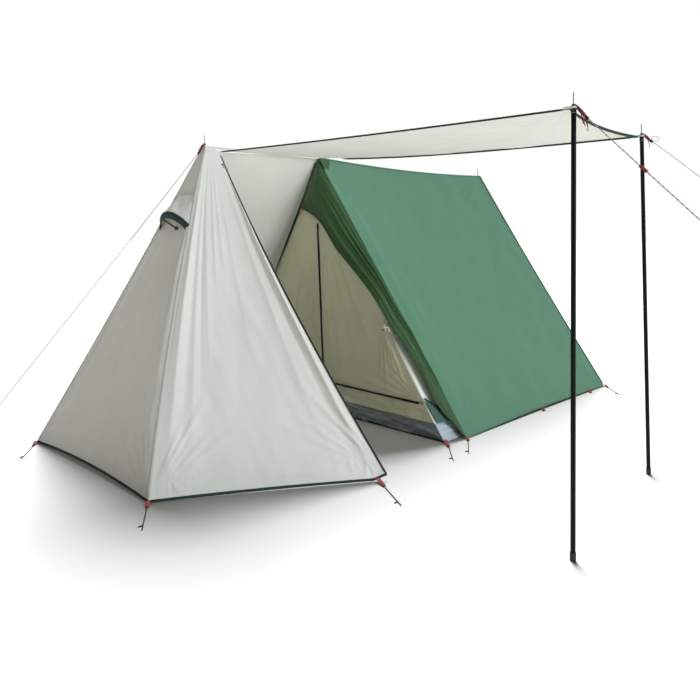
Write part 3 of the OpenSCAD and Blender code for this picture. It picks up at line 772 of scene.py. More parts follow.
def porch_seams():
    """Flat-felled seams where the porch's panels meet."""
    seams = Shape()
    seams.along(HIP_NEAR, point(0.45, -0.9, 0), end=0.985, lift=(-0.0012, -0.0012, 0.0006), **SEAM)
    seams.along(HIP_FAR, point(0.45, 0.9, 0), end=0.985, lift=(-0.0012, 0.0012, 0.0006), **SEAM)
    seams.along(FAR_DOOR_EDGE, point(1, 0, 0), end=0.99, lift=(0, 0.0015, 0.001), **SEAM)
    put(seams, "vestibule_seams", "pale_seam", "pale_cloth")


def porch_hem():
    """Binding folded round the hem, dark green along the sides; over the end it is drawn black, as painted
    shade for the shaded end.
    """
    width = 0.013
    side_strip, shaded_end_strip = Shape(), Shape()
    for curve, inward in ((near_hem, NEAR_NORMAL), (FAR_HEM, flip(NEAR_NORMAL))):
        lean = unit(UP - inward * (UP @ inward))
        side_strip.along(curve, lean, width, lift=lean * HEM_UP, **HEM)
    side_strip.along(BACK_HEM, unit(point(0, -0.7, 1)), width, lift=(0, -0.003, HEM_UP), **HEM)
    lean = unit(FRONT_APEX - point(HEM_NEAR[0], 0, 0))
    shaded_end_strip.along(END_HEM, lean, width, lift=lean * HEM_UP, **HEM)
    put(side_strip, "vestibule_hem", "dark_binding", "dark_binding")
    # painted shade: the end's binding is the sides' dark green binding, drawn black
    put(shaded_end_strip, "vestibule_end_hem", "black_binding", "dark_binding")


def ridge_strip(name, a, b, sag, half_width, material, slot):
    """A band of cloth folded over a ridge."""
    t = steps(60)
    over, down = point(0, half_width, 0), UP * RIDGE_DROP
    near, top, far = (edge(a + off, b + off, sag=(0, 0, -sag))(t) for off in (-over - down, 0, over - down))
    rows = np.stack([near, (near + top) / 2 + point(0, -0.002, 0.004), top + UP * 0.001,
                     (far + top) / 2 + point(0, 0.002, 0.004), far], 0)
    y = np.array([-1, -0.5, 0, 0.5, 1])[:, None] * half_width * 1.3
    shape = Shape()
    shape.grid(rows, np.stack(np.broadcast_arrays(lengths(top)[None, :], y), -1))
    put(shape, name, material, slot)


def porch_zip():
    """The door's zip: its tape and the raised coil in its middle."""
    tape, coil = Shape(), Shape()
    start, end = 0.004, 0.985
    lift = NEAR_NORMAL * 0.0018 + DOOR_INWARD * 0.004
    tape.along(DOOR_EDGE, DOOR_INWARD, 0.010, TAPE_THICK, start, end, 90, lift)
    coil.tube(DOOR_EDGE(steps(160, start, end)) + lift, 0.0018, 6)
    put(tape, "door_zip_tape", "zip_tape", "black_zip")
    put(coil, "door_zip_coil", "zip_coil", "black_zip")


porch_end()
porch_near()
porch_far()
porch_seams()
porch_hem()
porch_zip()
ridge_strip("vestibule_ridge_band", FRONT_APEX, WALL_APEX + point(0.016, 0, 0), 0.003, 0.007,
            "pale_band", "pale_band")

# ---------------------------------------------------------------- awning

AWNING_STOP = 0.014
FRONT_ROOT = point(FRONT_X + 0.095, -0.012, RIDGE_H - 0.026)
BACK_ROOT = point(WALL_X + 0.006, -0.006, RIDGE_H - 0.006)
FRONT_TIP = AWNING_FRONT + unit(FRONT_ROOT - AWNING_FRONT) * AWNING_STOP
BACK_TIP = AWNING_REAR + unit(BACK_ROOT - AWNING_REAR) * AWNING_STOP
AWNING_HEM = edge(FRONT_TIP, BACK_TIP, sag=(0, 0.030, -0.010))
AWNING_FRONT_EDGE = edge(FRONT_TIP, FRONT_ROOT, sag=(0.012, 0, -0.004))
AWNING_BACK_EDGE = edge(BACK_TIP, BACK_ROOT, sag=(-0.030, 0, -0.028), skew=0.35)


def awning():
    panel = Panel(AWNING_HEM, edge(FRONT_ROOT, BACK_ROOT), AWNING_FRONT_EDGE, AWNING_BACK_EDGE, 100, 140)
    panel.billow(0.022)
    panel.fan(FRONT_TIP, (84, 70, 58, 44, 30, 16), 1.1, 0.008)
    panel.fan(BACK_TIP, (98, 110, 124, 138, 152, 166), 1.1, 0.008)
    panel.fan(FRONT_ROOT, (-86, -74, -60), 0.8, 0.005).fan(BACK_ROOT, (-96, -108, -122), 0.8, 0.006)
    panel.uneven(0.0035, 0.6, 9, 1.6).uneven(0.0009, 0.14, 10, 2)
    piece = cloth("awning_panel", panel, "awning_cloth", ("awning_pole_1_upper", "awning_pole_2_upper"),
                  margin=0.03, slot="pale_cloth", body=None)
    piece.visible_shadow = False
    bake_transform(piece)


def awning_trim():
    """Binding round the awning, which hangs below its edges."""
    trim = Shape()
    edges = ((AWNING_FRONT_EDGE, 1.0, 0.009), (AWNING_BACK_EDGE, 0.90, 0.010), (AWNING_HEM, 1.0, 0.014))
    centre = (FRONT_TIP + BACK_ROOT) / 2
    for curve, end, drop in edges:
        line = curve(steps(80, 0.0, end))
        inward = np.cross(np.gradient(line, axis=0), UP)
        if inward[40] @ (centre - curve(0.5)) < 0:
            inward = -inward
        inward /= np.linalg.norm(inward, axis=1)[:, None]
        trim.strip(line + inward * 0.002 - UP * drop / 2, UP, drop, BINDING_THICK, 0.05)
    put(trim, "awning_hem", "dark_binding", "dark_binding", "awning")


def eyelet_tabs():
    """A tab of doubled webbing over each awning pole, with a pressed eyelet round the spike."""
    tabs, rings = Shape(), Shape()
    for top, tip in ((AWNING_FRONT, FRONT_TIP), (AWNING_REAR, BACK_TIP)):
        inward = unit((tip - top) * point(1, 1, 0))
        side = np.cross(UP, inward)
        turn = steps(25, 0, TURN)[:-1]
        inner, outer = (np.array(circle(top, inward * r, side * r, turn)) for r in (0.0042, 0.0167))
        reach = (outer - top) @ inward
        outer = outer + inward[None, :] * (np.clip(reach, 0, None) * 1.6)[:, None]
        rows = np.stack([inner + UP * 0.0026, outer + UP * 0.0022, outer - UP * 0.0060, inner - UP * 0.0020,
                         inner + UP * 0.0026], 0)
        rows = np.concatenate([rows, rows[:, :1]], 1)
        tabs.grid(rows, np.stack([(rows - top) @ inward, (rows - top) @ side], -1))
        rings.tube(circle(top + UP * 0.0028, inward * 0.0062, side * 0.0062, steps(33, 0, TURN)), 0.0013)
    put(tabs, "awning_eyelet_tabs", "pale_seam", "pale_band")
    put(rings, "awning_eyelets", "steel", "steel_spike")


awning()
awning_trim()
eyelet_tabs()

# ---------------------------------------------------------------- fly

FLY_RIDGE = edge(WALL_APEX, REAR_APEX, sag=(0, 0, -0.024), skew=-0.1)
FLY_FRONT_EDGE = edge(FLY_FRONT, WALL_APEX, sag=(0.012, 0.006, 0))
FLY_REAR_EDGE = edge(FLY_REAR, REAR_APEX, sag=(-0.008, 0.006, 0))
FLY_HEM = edge(FLY_FRONT, FLY_REAR, sag=(0, 0.012, 0.010))
FLY_REAR_HEM = edge(FLY_REAR, flip(FLY_REAR), sag=(-0.012, 0, 0.012))


def fly():
    near = Panel(FLY_HEM, FLY_RIDGE, FLY_FRONT_EDGE, FLY_REAR_EDGE, 130, 120)
    far = Panel(mirrored(FLY_HEM), mirrored(FLY_RIDGE), far_side(FLY_REAR_EDGE), far_side(FLY_FRONT_EDGE),
                110, 100)
    sides = (
        ("fly_near_panel", near, 0.0, FLY_FRONT, FLY_REAR, 11,
         ((16, 28, 40, 52), (165, 152, 139, 127), (-168, -161, -153, -144), (-12, -22))),
        ("fly_far_panel", far, 1.0, flip(FLY_FRONT), flip(FLY_REAR), 13,
         ((164, 152, 140, 128), (15, 28, 41, 53), (-12, -19, -27, -36), (-168, -158))),
    )
    for name, panel, front, front_corner, rear_corner, seed, fans in sides:
        panel.billow(0.018)
        panel.fan(front_corner, fans[0], 0.5, 0.005).fan(rear_corner, fans[1], 0.6, 0.005)
        panel.fan(REAR_APEX, fans[2], 0.9, 0.007, narrow=2.2).fan(WALL_APEX, fans[3], 0.6, 0.004)
        panel.ribs(
            (abs(front - 0.045), 0.014, 0.008, 0.05, 0.97, 0, 1.4),
            (abs(front - 0.10), 0.018, 0.004, 0.15, 0.9), (abs(1 - front - 0.06), 0.02, 0.005, 0.1, 0.95),
        )
        panel.uneven(0.0035, 0.55, seed, 1.4).uneven(0.0008, 0.13, seed + 3, 2)
        cloth(name, panel, "green_fly", ("centre_pole_upper", "rear_pole_upper", "fly_hem"), margin=0.03)
    left = edge(FLY_REAR, REAR_APEX - EYELET, sag=(-0.008, 0.006, 0))
    rear = Panel(FLY_REAR_HEM, edge(REAR_APEX - EYELET, REAR_APEX + EYELET), left, far_side(left), 120, 110)
    rear.billow(0.015)
    rear.ribs(
        (0.06, 0.02, 0.008, 0.05, 0.95), (0.94, 0.02, 0.008, 0.05, 0.95), (0.3, 0.04, 0.004, 0.3, 0.95),
        (0.55, 0.05, 0.004, 0.4, 0.97), (0.75, 0.03, 0.004, 0.5, 0.97),
    )
    rear.fan(FLY_REAR, (12, 22, 32, 43), 0.6, 0.006).fan(flip(FLY_REAR), (168, 158, 147, 136), 0.6, 0.006)
    rear.uneven(0.003, 0.5, 21, 1.6)
    cloth("fly_rear_panel", rear, "green_fly", ("rear_pole_upper", "fly_hem"), margin=0.03)


def fly_facing():
    """The loose dark strip along the near front edge, and the narrow one on the far side."""
    inner = through_points(*FACING_EDGE)
    outer = edge(FLY_FRONT + point(0.002, 0.004, 0.006), WALL_APEX + point(-0.004, 0, -0.012),
                 sag=(0.006, 0.006, 0))
    near = panel_from_sides(inner, outer, 60, 170)
    near.height += 0.021 * smooth_step(near.u / 0.3) * smooth_step((1 - near.u) / 0.15)
    near.ribs(
        (0.91, 0.024, 0.013, 0.02, 0.98, 0, 1.1), (0.78, 0.028, 0.012, 0.05, 0.95, -0.05, 1.2),
        (0.67, 0.04, -0.006, 0.05, 0.95), (0.53, 0.032, 0.015, 0.10, 0.97, 0.08),
        (0.36, 0.05, -0.008, 0.2, 0.9), (0.22, 0.035, 0.009, 0.25, 0.95, 0.05),
        (0.09, 0.03, 0.006, 0.1, 0.8),
    )
    near.uneven(0.004, 0.30, 31, 3).uneven(0.0015, 0.09, 32, 5)
    cloth("fly_near_facing", near, "green_facing", ["fly_near_panel"], held="hung", margin=0.04)
    far_outer = edge(flip(FLY_FRONT) + point(0.004, -0.006, 0.006), WALL_APEX + point(-0.004, 0.002, -0.012),
                     sag=(0.006, -0.006, 0))
    far_inner = through_points(far_outer(0.0) + point(-0.010, -0.070, 0), point(WALL_X - 0.02, 0.49, 0.80),
                               point(WALL_X - 0.02, 0.110, 1.470))
    far = panel_from_sides(far_outer, far_inner, 24, 110)
    far.rib(0.5, 0.2, 0.006, 0.05, 0.95)
    cloth("fly_far_facing", far, "green_facing", ["fly_far_panel"], held="hung", margin=0.06)
    trim = Shape()
    lift = (-0.003, 0, 0)
    trim.along(inner, point(0.3, 1, 0.5), 0.005, BINDING_THICK, 0.01, 0.995, 120, lift)
    trim.along(far_outer, point(0.2, -1, -0.5), 0.016, BINDING_THICK, 0.01, 0.985, 120, lift)
    put(trim, "fly_edge_trim", "facing_binding", "green_facing")
    # painted highlight: a light green strip along the fly's front edge stands for the light that the folded
    # edge catches
    seam = Shape()
    lift = (-0.002, 0.003, -0.002)
    seam.along(FLY_FRONT_EDGE, point(1, 0.1, 0), 0.006, 0.0026, 0.01, 0.945, 120, lift)
    put(seam, "fly_front_seam", "fly_edge_band", "green_facing")


def fly_trim():
    """The fly's hem, its rear seams and the small patch at its apex."""
    width, count = 0.014, 90
    hem, seams = Shape(), Shape()
    slope = unit(WALL_APEX - point(WALL_X, -FLY_HALF_W, 0))
    hem.along(FLY_HEM, slope, width, count=count, lift=slope * HEM_UP, **HEM)
    hem.along(mirrored(FLY_HEM), flip(slope), width, count=count, lift=flip(slope) * HEM_UP, **HEM)
    hem.along(FLY_REAR_HEM, point(-0.03, 0, 1), width, count=count, lift=UP * HEM_UP, **HEM)
    put(hem, "fly_hem", "green_band", "green_fly")
    for curve, s in ((FLY_REAR_EDGE, 1), (far_side(FLY_REAR_EDGE), -1)):
        lift = (0.001, -0.001 * s, 0.001)
        seams.along(curve, point(0.3, s, 0.6), width, SEAM_THICK, 0.01, 0.99, count, lift)
    put(seams, "fly_seams", "green_band", "green_fly")
    low, high = FLY_FRONT_EDGE(0.955), FLY_RIDGE(0.055)
    patch = panel_between((low, low + (high - WALL_APEX) * 0.45, high, WALL_APEX), 14, 10)
    patch.points = patch.points + patch.normal * 0.002
    cloth("fly_apex_patch", patch, "green_facing", ["fly_near_panel"])


fly()
fly_facing()
fly_trim()
ridge_strip("fly_ridge_band", WALL_APEX + point(0.02, 0, 0), REAR_APEX, 0.024, 0.009,
            "green_band", "green_fly")

# ---------------------------------------------------------------- inner tent

INNER_HELD = ("centre_pole_upper", "rear_pole_upper")
CORD_STEP = 0.0012


def inner_half(z):
    """Half the width of the inner tent at height z; its walls hang in a little between floor and ridge."""
    return FLOOR_HALF_W * (1 - z / INNER_H) - 0.034 * np.sin(math.pi * z / INNER_H)


def zip_y(z):
    """How far the upright zip lies to the side at height z."""
    return -ZIP_LEAN * (DOOR_H - z) / (DOOR_H - DOOR_BOTTOM)


def on_front(y, z):
    return point(WALL_X, y, z)


def front_panel(corners, columns, rows, s=-1, top=(0, 0, 0)):
    """A panel in the inner tent's front, from (y, z) corners; s = 1 gives the far side's order."""
    if s > 0:
        corners = [corners[k] for k in (1, 0, 3, 2)]
    return panel_between([(WALL_X, y, z) for y, z in corners], columns, rows, top)


def inner_front():
    y, low = inner_half(DOOR_H), inner_half(DOOR_BOTTOM)
    peak = INNER_H - 0.012
    top = front_panel([(y, DOOR_H), (-y, DOOR_H), (-0.008, peak), (0.008, peak)], 50, 40)
    top.uneven(0.002, 0.25, 41, 2)
    cloth("inner_front_top", top, "olive_cloth", ["centre_pole_upper"], margin=0.1)
    margins = []
    for s in (-1, 1):
        corners = ((DOOR_FOOT_HALF, DOOR_BOTTOM), (low, DOOR_BOTTOM), (y, DOOR_H), (DOOR_TOP_HALF, DOOR_H))
        margin = front_panel([(s * a, z) for a, z in corners], 24, 90, s)
        margins.append(margin.uneven(0.002, 0.25, 42 + s, 3))
    cloth("inner_front_margins", margins, "olive_cloth", ["inner_near_wall", "inner_far_wall"],
          margin=0.08, flat=(0.32, 1.42))
    foot, head = inner_half(TUB_H), inner_half(SILL_H)
    corners = [(foot, TUB_H), (-foot, TUB_H), (-head, SILL_H), (head, SILL_H)]
    sill = front_panel(corners, 140, 16, top=(0, 0, -0.006))
    sill.uneven(0.004, 0.20, 45, 0.5).uneven(0.0015, 0.07, 46, 0.4)
    cloth("inner_front_sill", sill, "olive_cloth", ["groundsheet_upstands"], hold="lrb", margin=0.02)


# How far a door leaf's folds are from its free edge, as a share of its width, and their width and height
DOOR_FOLDS = ((0.10, 0.03, 0.006), (0.24, 0.05, 0.005), (0.45, 0.05, 0.006), (0.70, 0.06, 0.006))


def door_leaf(side, s, seed, spokes, hang):
    """One leaf of the inner door; s is -1 on the near side, and hang the creases below its tie."""
    gap = 0.006
    leaf = front_panel([(zip_y(DOOR_BOTTOM) + s * gap, DOOR_BOTTOM), (s * DOOR_FOOT_HALF, DOOR_BOTTOM),
                        (s * DOOR_TOP_HALF, DOOR_H), (s * gap, DOOR_H)], 80, 110, s)
    leaf.billow(0.012)
    free = 0.0 if s < 0 else 1.0
    for off, width, height in DOOR_FOLDS:
        leaf.rib(abs(free - off), width, height, 0.04, 0.97)
    leaf.fan(on_front(s * DOOR_FOOT_HALF, DOOR_BOTTOM), spokes, 0.6, 0.006)
    leaf.fan(on_front(s * 0.585, 0.640), hang, 0.50, 0.012, narrow=1.9)
    leaf.uneven(0.003, 0.35, seed, 2.5).uneven(0.0012, 0.10, seed + 1, 3)
    cloth(f"inner_door_{side}", leaf, "olive_cloth", ("inner_front_margins", "inner_zip_tapes"),
          held="hung", margin=0.03, body=f"inner_leaf_{side}")


def inner_zips():
    """The upright zip bends round into the sill zip on the near side; a second one runs to the far side."""
    tape, coil = Shape(), Shape()
    foot, bend, end = zip_y(DOOR_BOTTOM), 0.085, DOOR_FOOT_HALF - 0.01
    out = point(-CORD_STEP, 0, 0)
    upright = [on_front(zip_y(z), z) for z in steps(50, DOOR_H, DOOR_BOTTOM + bend)]
    turn = steps(16, 0, math.pi / 2)[1:]
    corner = circle(on_front(foot - bend, DOOR_BOTTOM + bend), point(0, bend, 0), -UP * bend, turn)
    sill = [on_front(y, DOOR_BOTTOM - 0.010 * (foot - y - bend)) for y in steps(60, foot - bend, -end)[1:]]
    line = np.array(upright + corner + sill) + point(-0.007, 0, 0)
    tape.strip(line, np.cross(np.gradient(line, axis=0), [1.0, 0, 0]), 0.012, TAPE_THICK)
    coil.tube(line + out, 0.0022, 6)
    far = np.array([on_front(y, SILL_H + 0.005) for y in steps(60, foot + 0.02, end)]) + point(-0.003, 0, 0)
    tape.strip(far, UP, 0.017, TAPE_THICK)
    coil.tube(far + out, 0.0028, 6)
    put(tape, "inner_zip_tapes", "zip_tape", "black_zip")
    put(coil, "inner_zip_coils", "zip_coil", "black_zip")


def inner_walls():
    x0, x1 = WALL_X + 0.004, REAR_X - 0.004
    y, yt, top = inner_half(TUB_H), 0.010, INNER_H - 0.016
    for name, s in (("inner_near_wall", -1), ("inner_far_wall", 1)):
        a, b = (x0, x1) if s < 0 else (x1, x0)
        corners = ((a, s * y, TUB_H), (b, s * y, TUB_H), (b, s * yt, top), (a, s * yt, top))
        wall = panel_between(corners, 90, 70, top=(0, 0, -0.03), sides=(0, -s * 0.018, 0))
        wall.billow(0.02).uneven(0.005, 0.4, 50 + s, 1.5).ribs((0.05, 0.02, 0.006), (0.95, 0.02, 0.006))
        # painted light: the walls take the lighter copy of the inner tent's cloth
        cloth(name, wall, "cream_cloth", INNER_HELD, slot="olive_cloth")
    rear = panel_between(((x1, -y, TUB_H), (x1, y, TUB_H), (x1, yt, top), (x1, -yt, top)), 60, 60)
    rear.uneven(0.004, 0.4, 53, 1.5)
    cloth("inner_rear_wall", rear, "olive_cloth", ["rear_pole_upper"])


def tub():
    """The floor and the raised edge that runs right round it."""
    x0, x1, y, half = WALL_X, REAR_X, FLOOR_HALF_W, inner_half(TUB_H)
    lie, foot = 0.002, 0.003
    floor = panel_between(((x0, -y, lie), (x1, -y, lie), (x1, y, lie), (x0, y, lie)), 90, 90)
    floor.uneven(0.003, 0.35, 60).uneven(0.0014, 0.12, 61)
    floor.height = np.abs(floor.height)
    cloth("groundsheet", floor, "groundsheet", held="laid")
    corners = [(x0, y, half), (x0, -y, -half), (x1, -y, -half), (x1, y, half)]
    walls = []
    for k in range(4):
        (xa, ya, ta), (xb, yb, tb) = corners[k], corners[(k + 1) % 4]
        wall = panel_between(((xa, ya, foot), (xb, yb, foot), (xb, tb, TUB_H), (xa, ta, TUB_H)),
                             150, 14, top=(0, 0, -0.004))
        wall.band(0.45, 0.16, 0.010, 0.0, 1.0, 0.1).band(0.75, 0.1, -0.006, 0.1, 0.9, -0.15)
        walls.append(wall.uneven(0.006, 0.16, 62 + k, 0.35).uneven(0.002, 0.05, 66 + k, 0.5))
    finish = {"rests_on": ["groundsheet"], "margin": 0.04, "strip": 0.115, "slot": "groundsheet"}
    cloth("groundsheet_upstands", walls[:1], "groundsheet", **finish)
    # painted light: the sides take the lighter copy of the groundsheet's grey
    cloth("groundsheet_sides", walls[1:], "silver_cloth", **finish)
    hem = Shape()
    hem.strip([point(x0 - 0.002, y, 0.006) for y in steps(60, y, -y)], UP, 0.010, BINDING_THICK)
    put(hem, "groundsheet_front_seam", "black_binding", "groundsheet")


def pocket():
    """The three-sided pocket low on the near wall, with its bound mouth, and the cream corner seams."""
    top, heel = point(-0.976, -0.910, 0.231), point(-0.807, -0.998, 0.0975)
    toe = point(-0.959, -0.996, 0.1005)
    rows = np.array([
        edge(toe + (top - toe) * v, heel + (top - heel) * v, sag=(0, -0.010 * (1 - v), 0))(steps(16))
        for v in steps(14)
    ])
    shape, mouth, seam = Shape(), Shape(), Shape()
    shape.grid(rows, np.stack([(rows - toe) @ unit(heel - toe), (rows - toe) @ unit(top - toe)], -1))
    piece = shape.build("wall_pocket", "dark_cloth")
    place(piece, "green_facing")
    mouth.along(edge(top, heel, sag=(0, -0.004, 0)), point(0.2, 0, 1), 0.009, BINDING_THICK,
                count=30, lift=(-0.002, -0.003, 0))
    put(mouth, "wall_pocket_binding", "black_binding", "green_facing")
    z = steps(60, TUB_H, INNER_H - 0.02)
    for s in (-1, 1):
        line = np.stack([np.full_like(z, WALL_X - 0.003), s * (inner_half(z) + 0.001), z], -1)
        seam.strip(line, point(0.5, s, 0), 0.012, 0.0024)
    put(seam, "inner_corner_seams", "cream_seam", "olive_cloth")


inner_front()
door_leaf("near", -1, 70, (172, 161, 150, 140), (-64, -71, -78, -85, -93, -101))
door_leaf("far", 1, 73, (8, 19, 30, 40), (-116, -109, -102, -95, -87))
inner_zips()
inner_walls()
tub()
pocket()

# ---------------------------------------------------------------- small gear

VENT_HALF_W = 0.140
VENT_BAND = 0.038
END_NORMAL = unit(np.cross(HEM_NEAR - flip(HEM_NEAR), FRONT_APEX - HEM_NEAR))


def on_end(z, y, out=0.0):
    """A place on the end panel at height z and y to the side, and out from it."""
    foot = point(HEM_NEAR[0], 0, 0)
    return foot + (FRONT_APEX - foot) * z / RIDGE_H + point(0, y, 0) + END_NORMAL * out


def vent_rim(t):
    """The brim's line, which arches out from the end panel."""
    t = np.asarray(t, float)
    arch = np.sin(math.pi * np.clip(t, 0, 1) ** 0.8) ** 0.7
    places = [on_end(1.236 + 0.054 * a, VENT_HALF_W * (1 - 2 * k), 0.005 + 0.057 * a)
              for k, a in zip(np.ravel(t), np.ravel(arch))]
    return np.array(places).reshape(*t.shape, 3)


def vent():
    """The hood arches out from the end panel to a stiff stitched brim, and its ends stay sewn down."""
    half = VENT_HALF_W * 0.62
    top = edge(on_end(1.410, half, 0.002), on_end(1.410, -half, 0.002))
    sides = (edge(vent_rim(t), top(t)) for t in (0.0, 1.0))
    hood = Panel(vent_rim, top, *sides, 50, 24)
    hood.uneven(0.002, 0.10, 81)
    rests_on = ("vent_brim", "vestibule_end_panel")
    parts = [cloth("vent_hood", hood, "pale_cloth", rests_on, margin=0.1, body=None)]
    band, edging, strut = Shape(), Shape(), Shape()
    line = vent_rim(steps(70)) + END_NORMAL * 0.002
    band.strip(line - UP * VENT_BAND / 2, UP, VENT_BAND, 0.004)
    edging.tube(line - UP * VENT_BAND, 0.0026)
    parts.append(put(band, "vent_brim", "vent_webbing", "dark_binding", None))
    parts.append(put(edging, "vent_brim_edge", "black_binding", "dark_binding", None))
    foot, head = on_end(1.215, -0.045, 0.012), on_end(1.258, 0.098, 0.040)
    strut.tube([foot, foot + (head - foot) * 0.5 + point(-0.003, 0, 0.003), head], 0.0044, 12)
    strut.bead(foot, unit(head - foot), steps(13, -0.0115, 0.0115), 0.0112, 0.0115, 0.02, 14)
    put(strut, "vent_strut", "black_plastic", "black_plastic", "vent_prop")
    for part in parts:
        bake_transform(part)


vent()

# Where each hem's corner is, where its peg's head lies, and the peg's heading in degrees
PEG_TABS = (
    (HEM_NEAR, (-2.602, -0.652), 236), (flip(HEM_NEAR), (-2.610, 0.575), 234),
    (near_hem(0.95), (-1.700, -1.236), 240), (flip(near_hem(0.95)), (-1.700, 1.236), 120),
    (BACK_FAR, (-0.790, 1.236), 60), (FLY_FRONT, (-0.838, -1.122), 215),
    (point(WALL_X, -FLOOR_HALF_W, 0.010), (-1.008, -1.108), 222), (FLY_REAR, (1.000, -1.140), 224),
    (flip(FLY_REAR), (1.060, 1.140), 40), (point(-3.300, 0, 0.012), (-3.314, 0), 180),
    (point(0.061, -1.102, 0.008), (0.049, -1.119), 240), (point(0.764, -1.102, 0.008), (0.752, -1.119), 240),
    (point(0.061, 1.102, 0.008), (0.049, 1.119), 120), (point(0.764, 1.102, 0.008), (0.752, 1.119), 120),
)


def peg_tabs():
    """Webbing sewn to each corner in a wedge, which narrows to the loop round its peg."""
    shape = Shape()
    for corner, head, heading in PEG_TABS:
        ahead = point(math.cos(math.radians(heading)), math.sin(math.radians(heading)), 0)
        side = np.cross(UP, ahead)
        end = point(*head, 0.004) + ahead * 0.006
        start = np.array(corner) + UP * 0.006 - ahead * 0.006
        t = steps(12)[:, None]
        middle = start + (end - start) * t + UP * 0.004 * np.sin(math.pi * t)
        half = 0.0145 - 0.0085 * smooth_step(t * 1.6)
        for s in (-1, 1):
            shape.strip(middle + side * half * s * 0.55 + UP * 0.0012 * s, side, 0.012, 0.002)
        shape.tube(circle(end + UP * 0.002, ahead * 0.004, side * 0.0065, steps(20, 0, TURN)), 0.0022)
    put(shape, "peg_loops", "red_webbing", "red_webbing")


def guy_bundles():
    """The red line wound round each spike and twisted down to the knot that the guy line starts from."""
    bundles, knots, tie, loop = Shape(), Shape(), Shape(), Shape()
    draw = np.random.default_rng(91)
    starts = ((FRONT_APEX, FRONT_GUY[0], 0, 1.0), (AWNING_FRONT, AWNING_GUY_1[0], 4, 0.74),
              (AWNING_REAR, AWNING_GUY_2[0], 1, 0.62))
    for top, exit_place, tails, share in starts:
        knot = top + (exit_place - top) * share
        if share < 1:
            tie.tube(edge(knot, exit_place)(steps(8)), GUY_D / 2)
        out = unit((knot - top) * point(1, 1, 0))
        side = np.cross(UP, out)
        for level, reach in ((0.0055, 0.0066), (0.0095, 0.0062)):
            bundles.tube(circle(top + UP * level, out * reach, side * reach, steps(28, 0, TURN)), 0.0022)
        start = top + out * 0.009 + UP * 0.005
        t = steps(44)
        up = unit(np.cross(knot - start, side))
        for strand in range(4):
            twist = TURN * (t * 2.2 + strand / 4)
            wide = 0.0046 * np.sin(math.pi * np.clip(t * 0.93 + 0.07, 0, 1)) ** 0.6 + 0.0005
            line = start + (knot - start) * t[:, None]
            line = line + side * (np.cos(twist) * wide)[:, None] + up * (np.sin(twist) * wide)[:, None]
            bundles.tube(line, 0.0027)
        knots.bead(knot, unit(knot - start), steps(9, -0.012, 0.010), 0.0062, 0.0135)
        for tail in range(tails):
            root = start + (knot - start) * (0.45 + 0.17 * (tail % 4))
            lean = draw.uniform(-0.4, 0.4, 2)
            length = draw.uniform(0.035, 0.055)
            w = steps(14)[:, None]
            line = root + side * lean[0] * length * np.sin(2.0 * w) + out * (0.010 + lean[1] * 0.02) * w
            bundles.tube(line - UP * length * w, 0.0016, 6)
    put(bundles, "guy_loops", "red_cord", "guy_cord")
    put(knots, "guy_knots", "black_binding", "guy_cord")
    put(tie, "guy_line_starts", "grey_cord", "guy_cord")
    start = AWNING_REAR + (AWNING_GUY_2[0] - AWNING_REAR) * 0.55 + point(0.004, -0.006, 0.008)
    ahead = unit(point(0.10, -0.97, -0.05))
    turn = steps(34, -0.35, TURN * 0.93)
    loop.tube(circle(start + ahead * 0.017, -ahead * 0.016, UP * 0.012, turn), 0.0014)
    put(loop, "awning_guy_spare_loop", "grey_cord", "guy_cord")


def toggles():
    """The knotted loop on the inner tent's corner, and the red toggle where the fly's facing is tied up."""
    shape, bar, toggle = Shape(), Shape(), Shape()
    knot = point(-1.000, -0.640, 0.612)
    for wide, tall in ((0.021, 0.011), (-0.013, 0.014), (0.011, -0.016)):
        shape.tube(circle(knot + point(-0.003, wide, -0.3 * tall), point(0, -wide, 0.3 * tall), UP * tall,
                          steps(30, 0, TURN)), 0.0040)
    shape.tube([knot + point(-0.006, -0.008 + 0.016 * t, 0.002) for t in steps(6)], 0.0085, 10)
    bar.tube([knot + point(-0.004, 0.010 + 0.020 * t, -0.014 + 0.006 * t) for t in steps(8)], 0.0038, 10)
    put(shape, "inner_tie_loop", "white_cord", "olive_cloth")
    put(bar, "inner_tie_toggle", "black_plastic", "black_plastic")
    at, end = point(-1.010, 0.098, 1.352), point(WALL_X + 0.034, 0.262, 1.290)
    toggle.bead(at + point(-0.005, 0, 0), point(0, 0.4, 1), steps(11, -0.016, 0.016), 0.005, 0.018)
    drop = steps(24)[:, None]
    toggle.tube(at + (end - at) * drop - UP * 0.006 * np.sin(math.pi * drop), 0.0018)
    put(toggle, "facing_toggle", "red_plastic", "red_webbing")


# A pole cap's outline: how far each ring is from the pole's top, and its radius
CAP_OUTLINE = ((-0.030, 0.0085), (-0.028, 0.0101), (-0.026, 0.0103), (-0.008, 0.0103), (-0.005, 0.0096),
               (-0.003, 0.0072), (-0.0025, 0.0035))


def pole_caps():
    """The moulded cap on each awning pole, which the spike stands in."""
    shape = Shape()
    for top in (AWNING_FRONT, AWNING_REAR):
        shape.tube([top + UP * z for z, _ in CAP_OUTLINE], [radius for _, radius in CAP_OUTLINE], 24)
    put(shape, "awning_pole_caps", "black_plastic", "pole")


pole_caps()
peg_tabs()
guy_bundles()
toggles()

CAD_FINISH = {
    "pole_feet": "pole_foot", "pole_spikes": "steel", "door_zip_slider": "zip_metal",
    "centre_zip_slider": "zip_metal", "sill_zip_slider": "zip_metal", "ground_pegs": "peg_steel",
    "front_guy_slider": "red_plastic", "awning_guy_slider": "red_plastic",
}
for name, node in NODES.items():
    finish = "pole" if "_pole_" in name else CAD_FINISH.get(name)
    if finish and not node.hide_render:
        node.data.materials.clear()
        node.data.materials.append(MATERIALS[finish])

# ---------------------------------------------------------------- stage

FLOOR_REACH = 60.0
FLOOR_TONE = 0.62
WORLD_LIGHT = 0.190
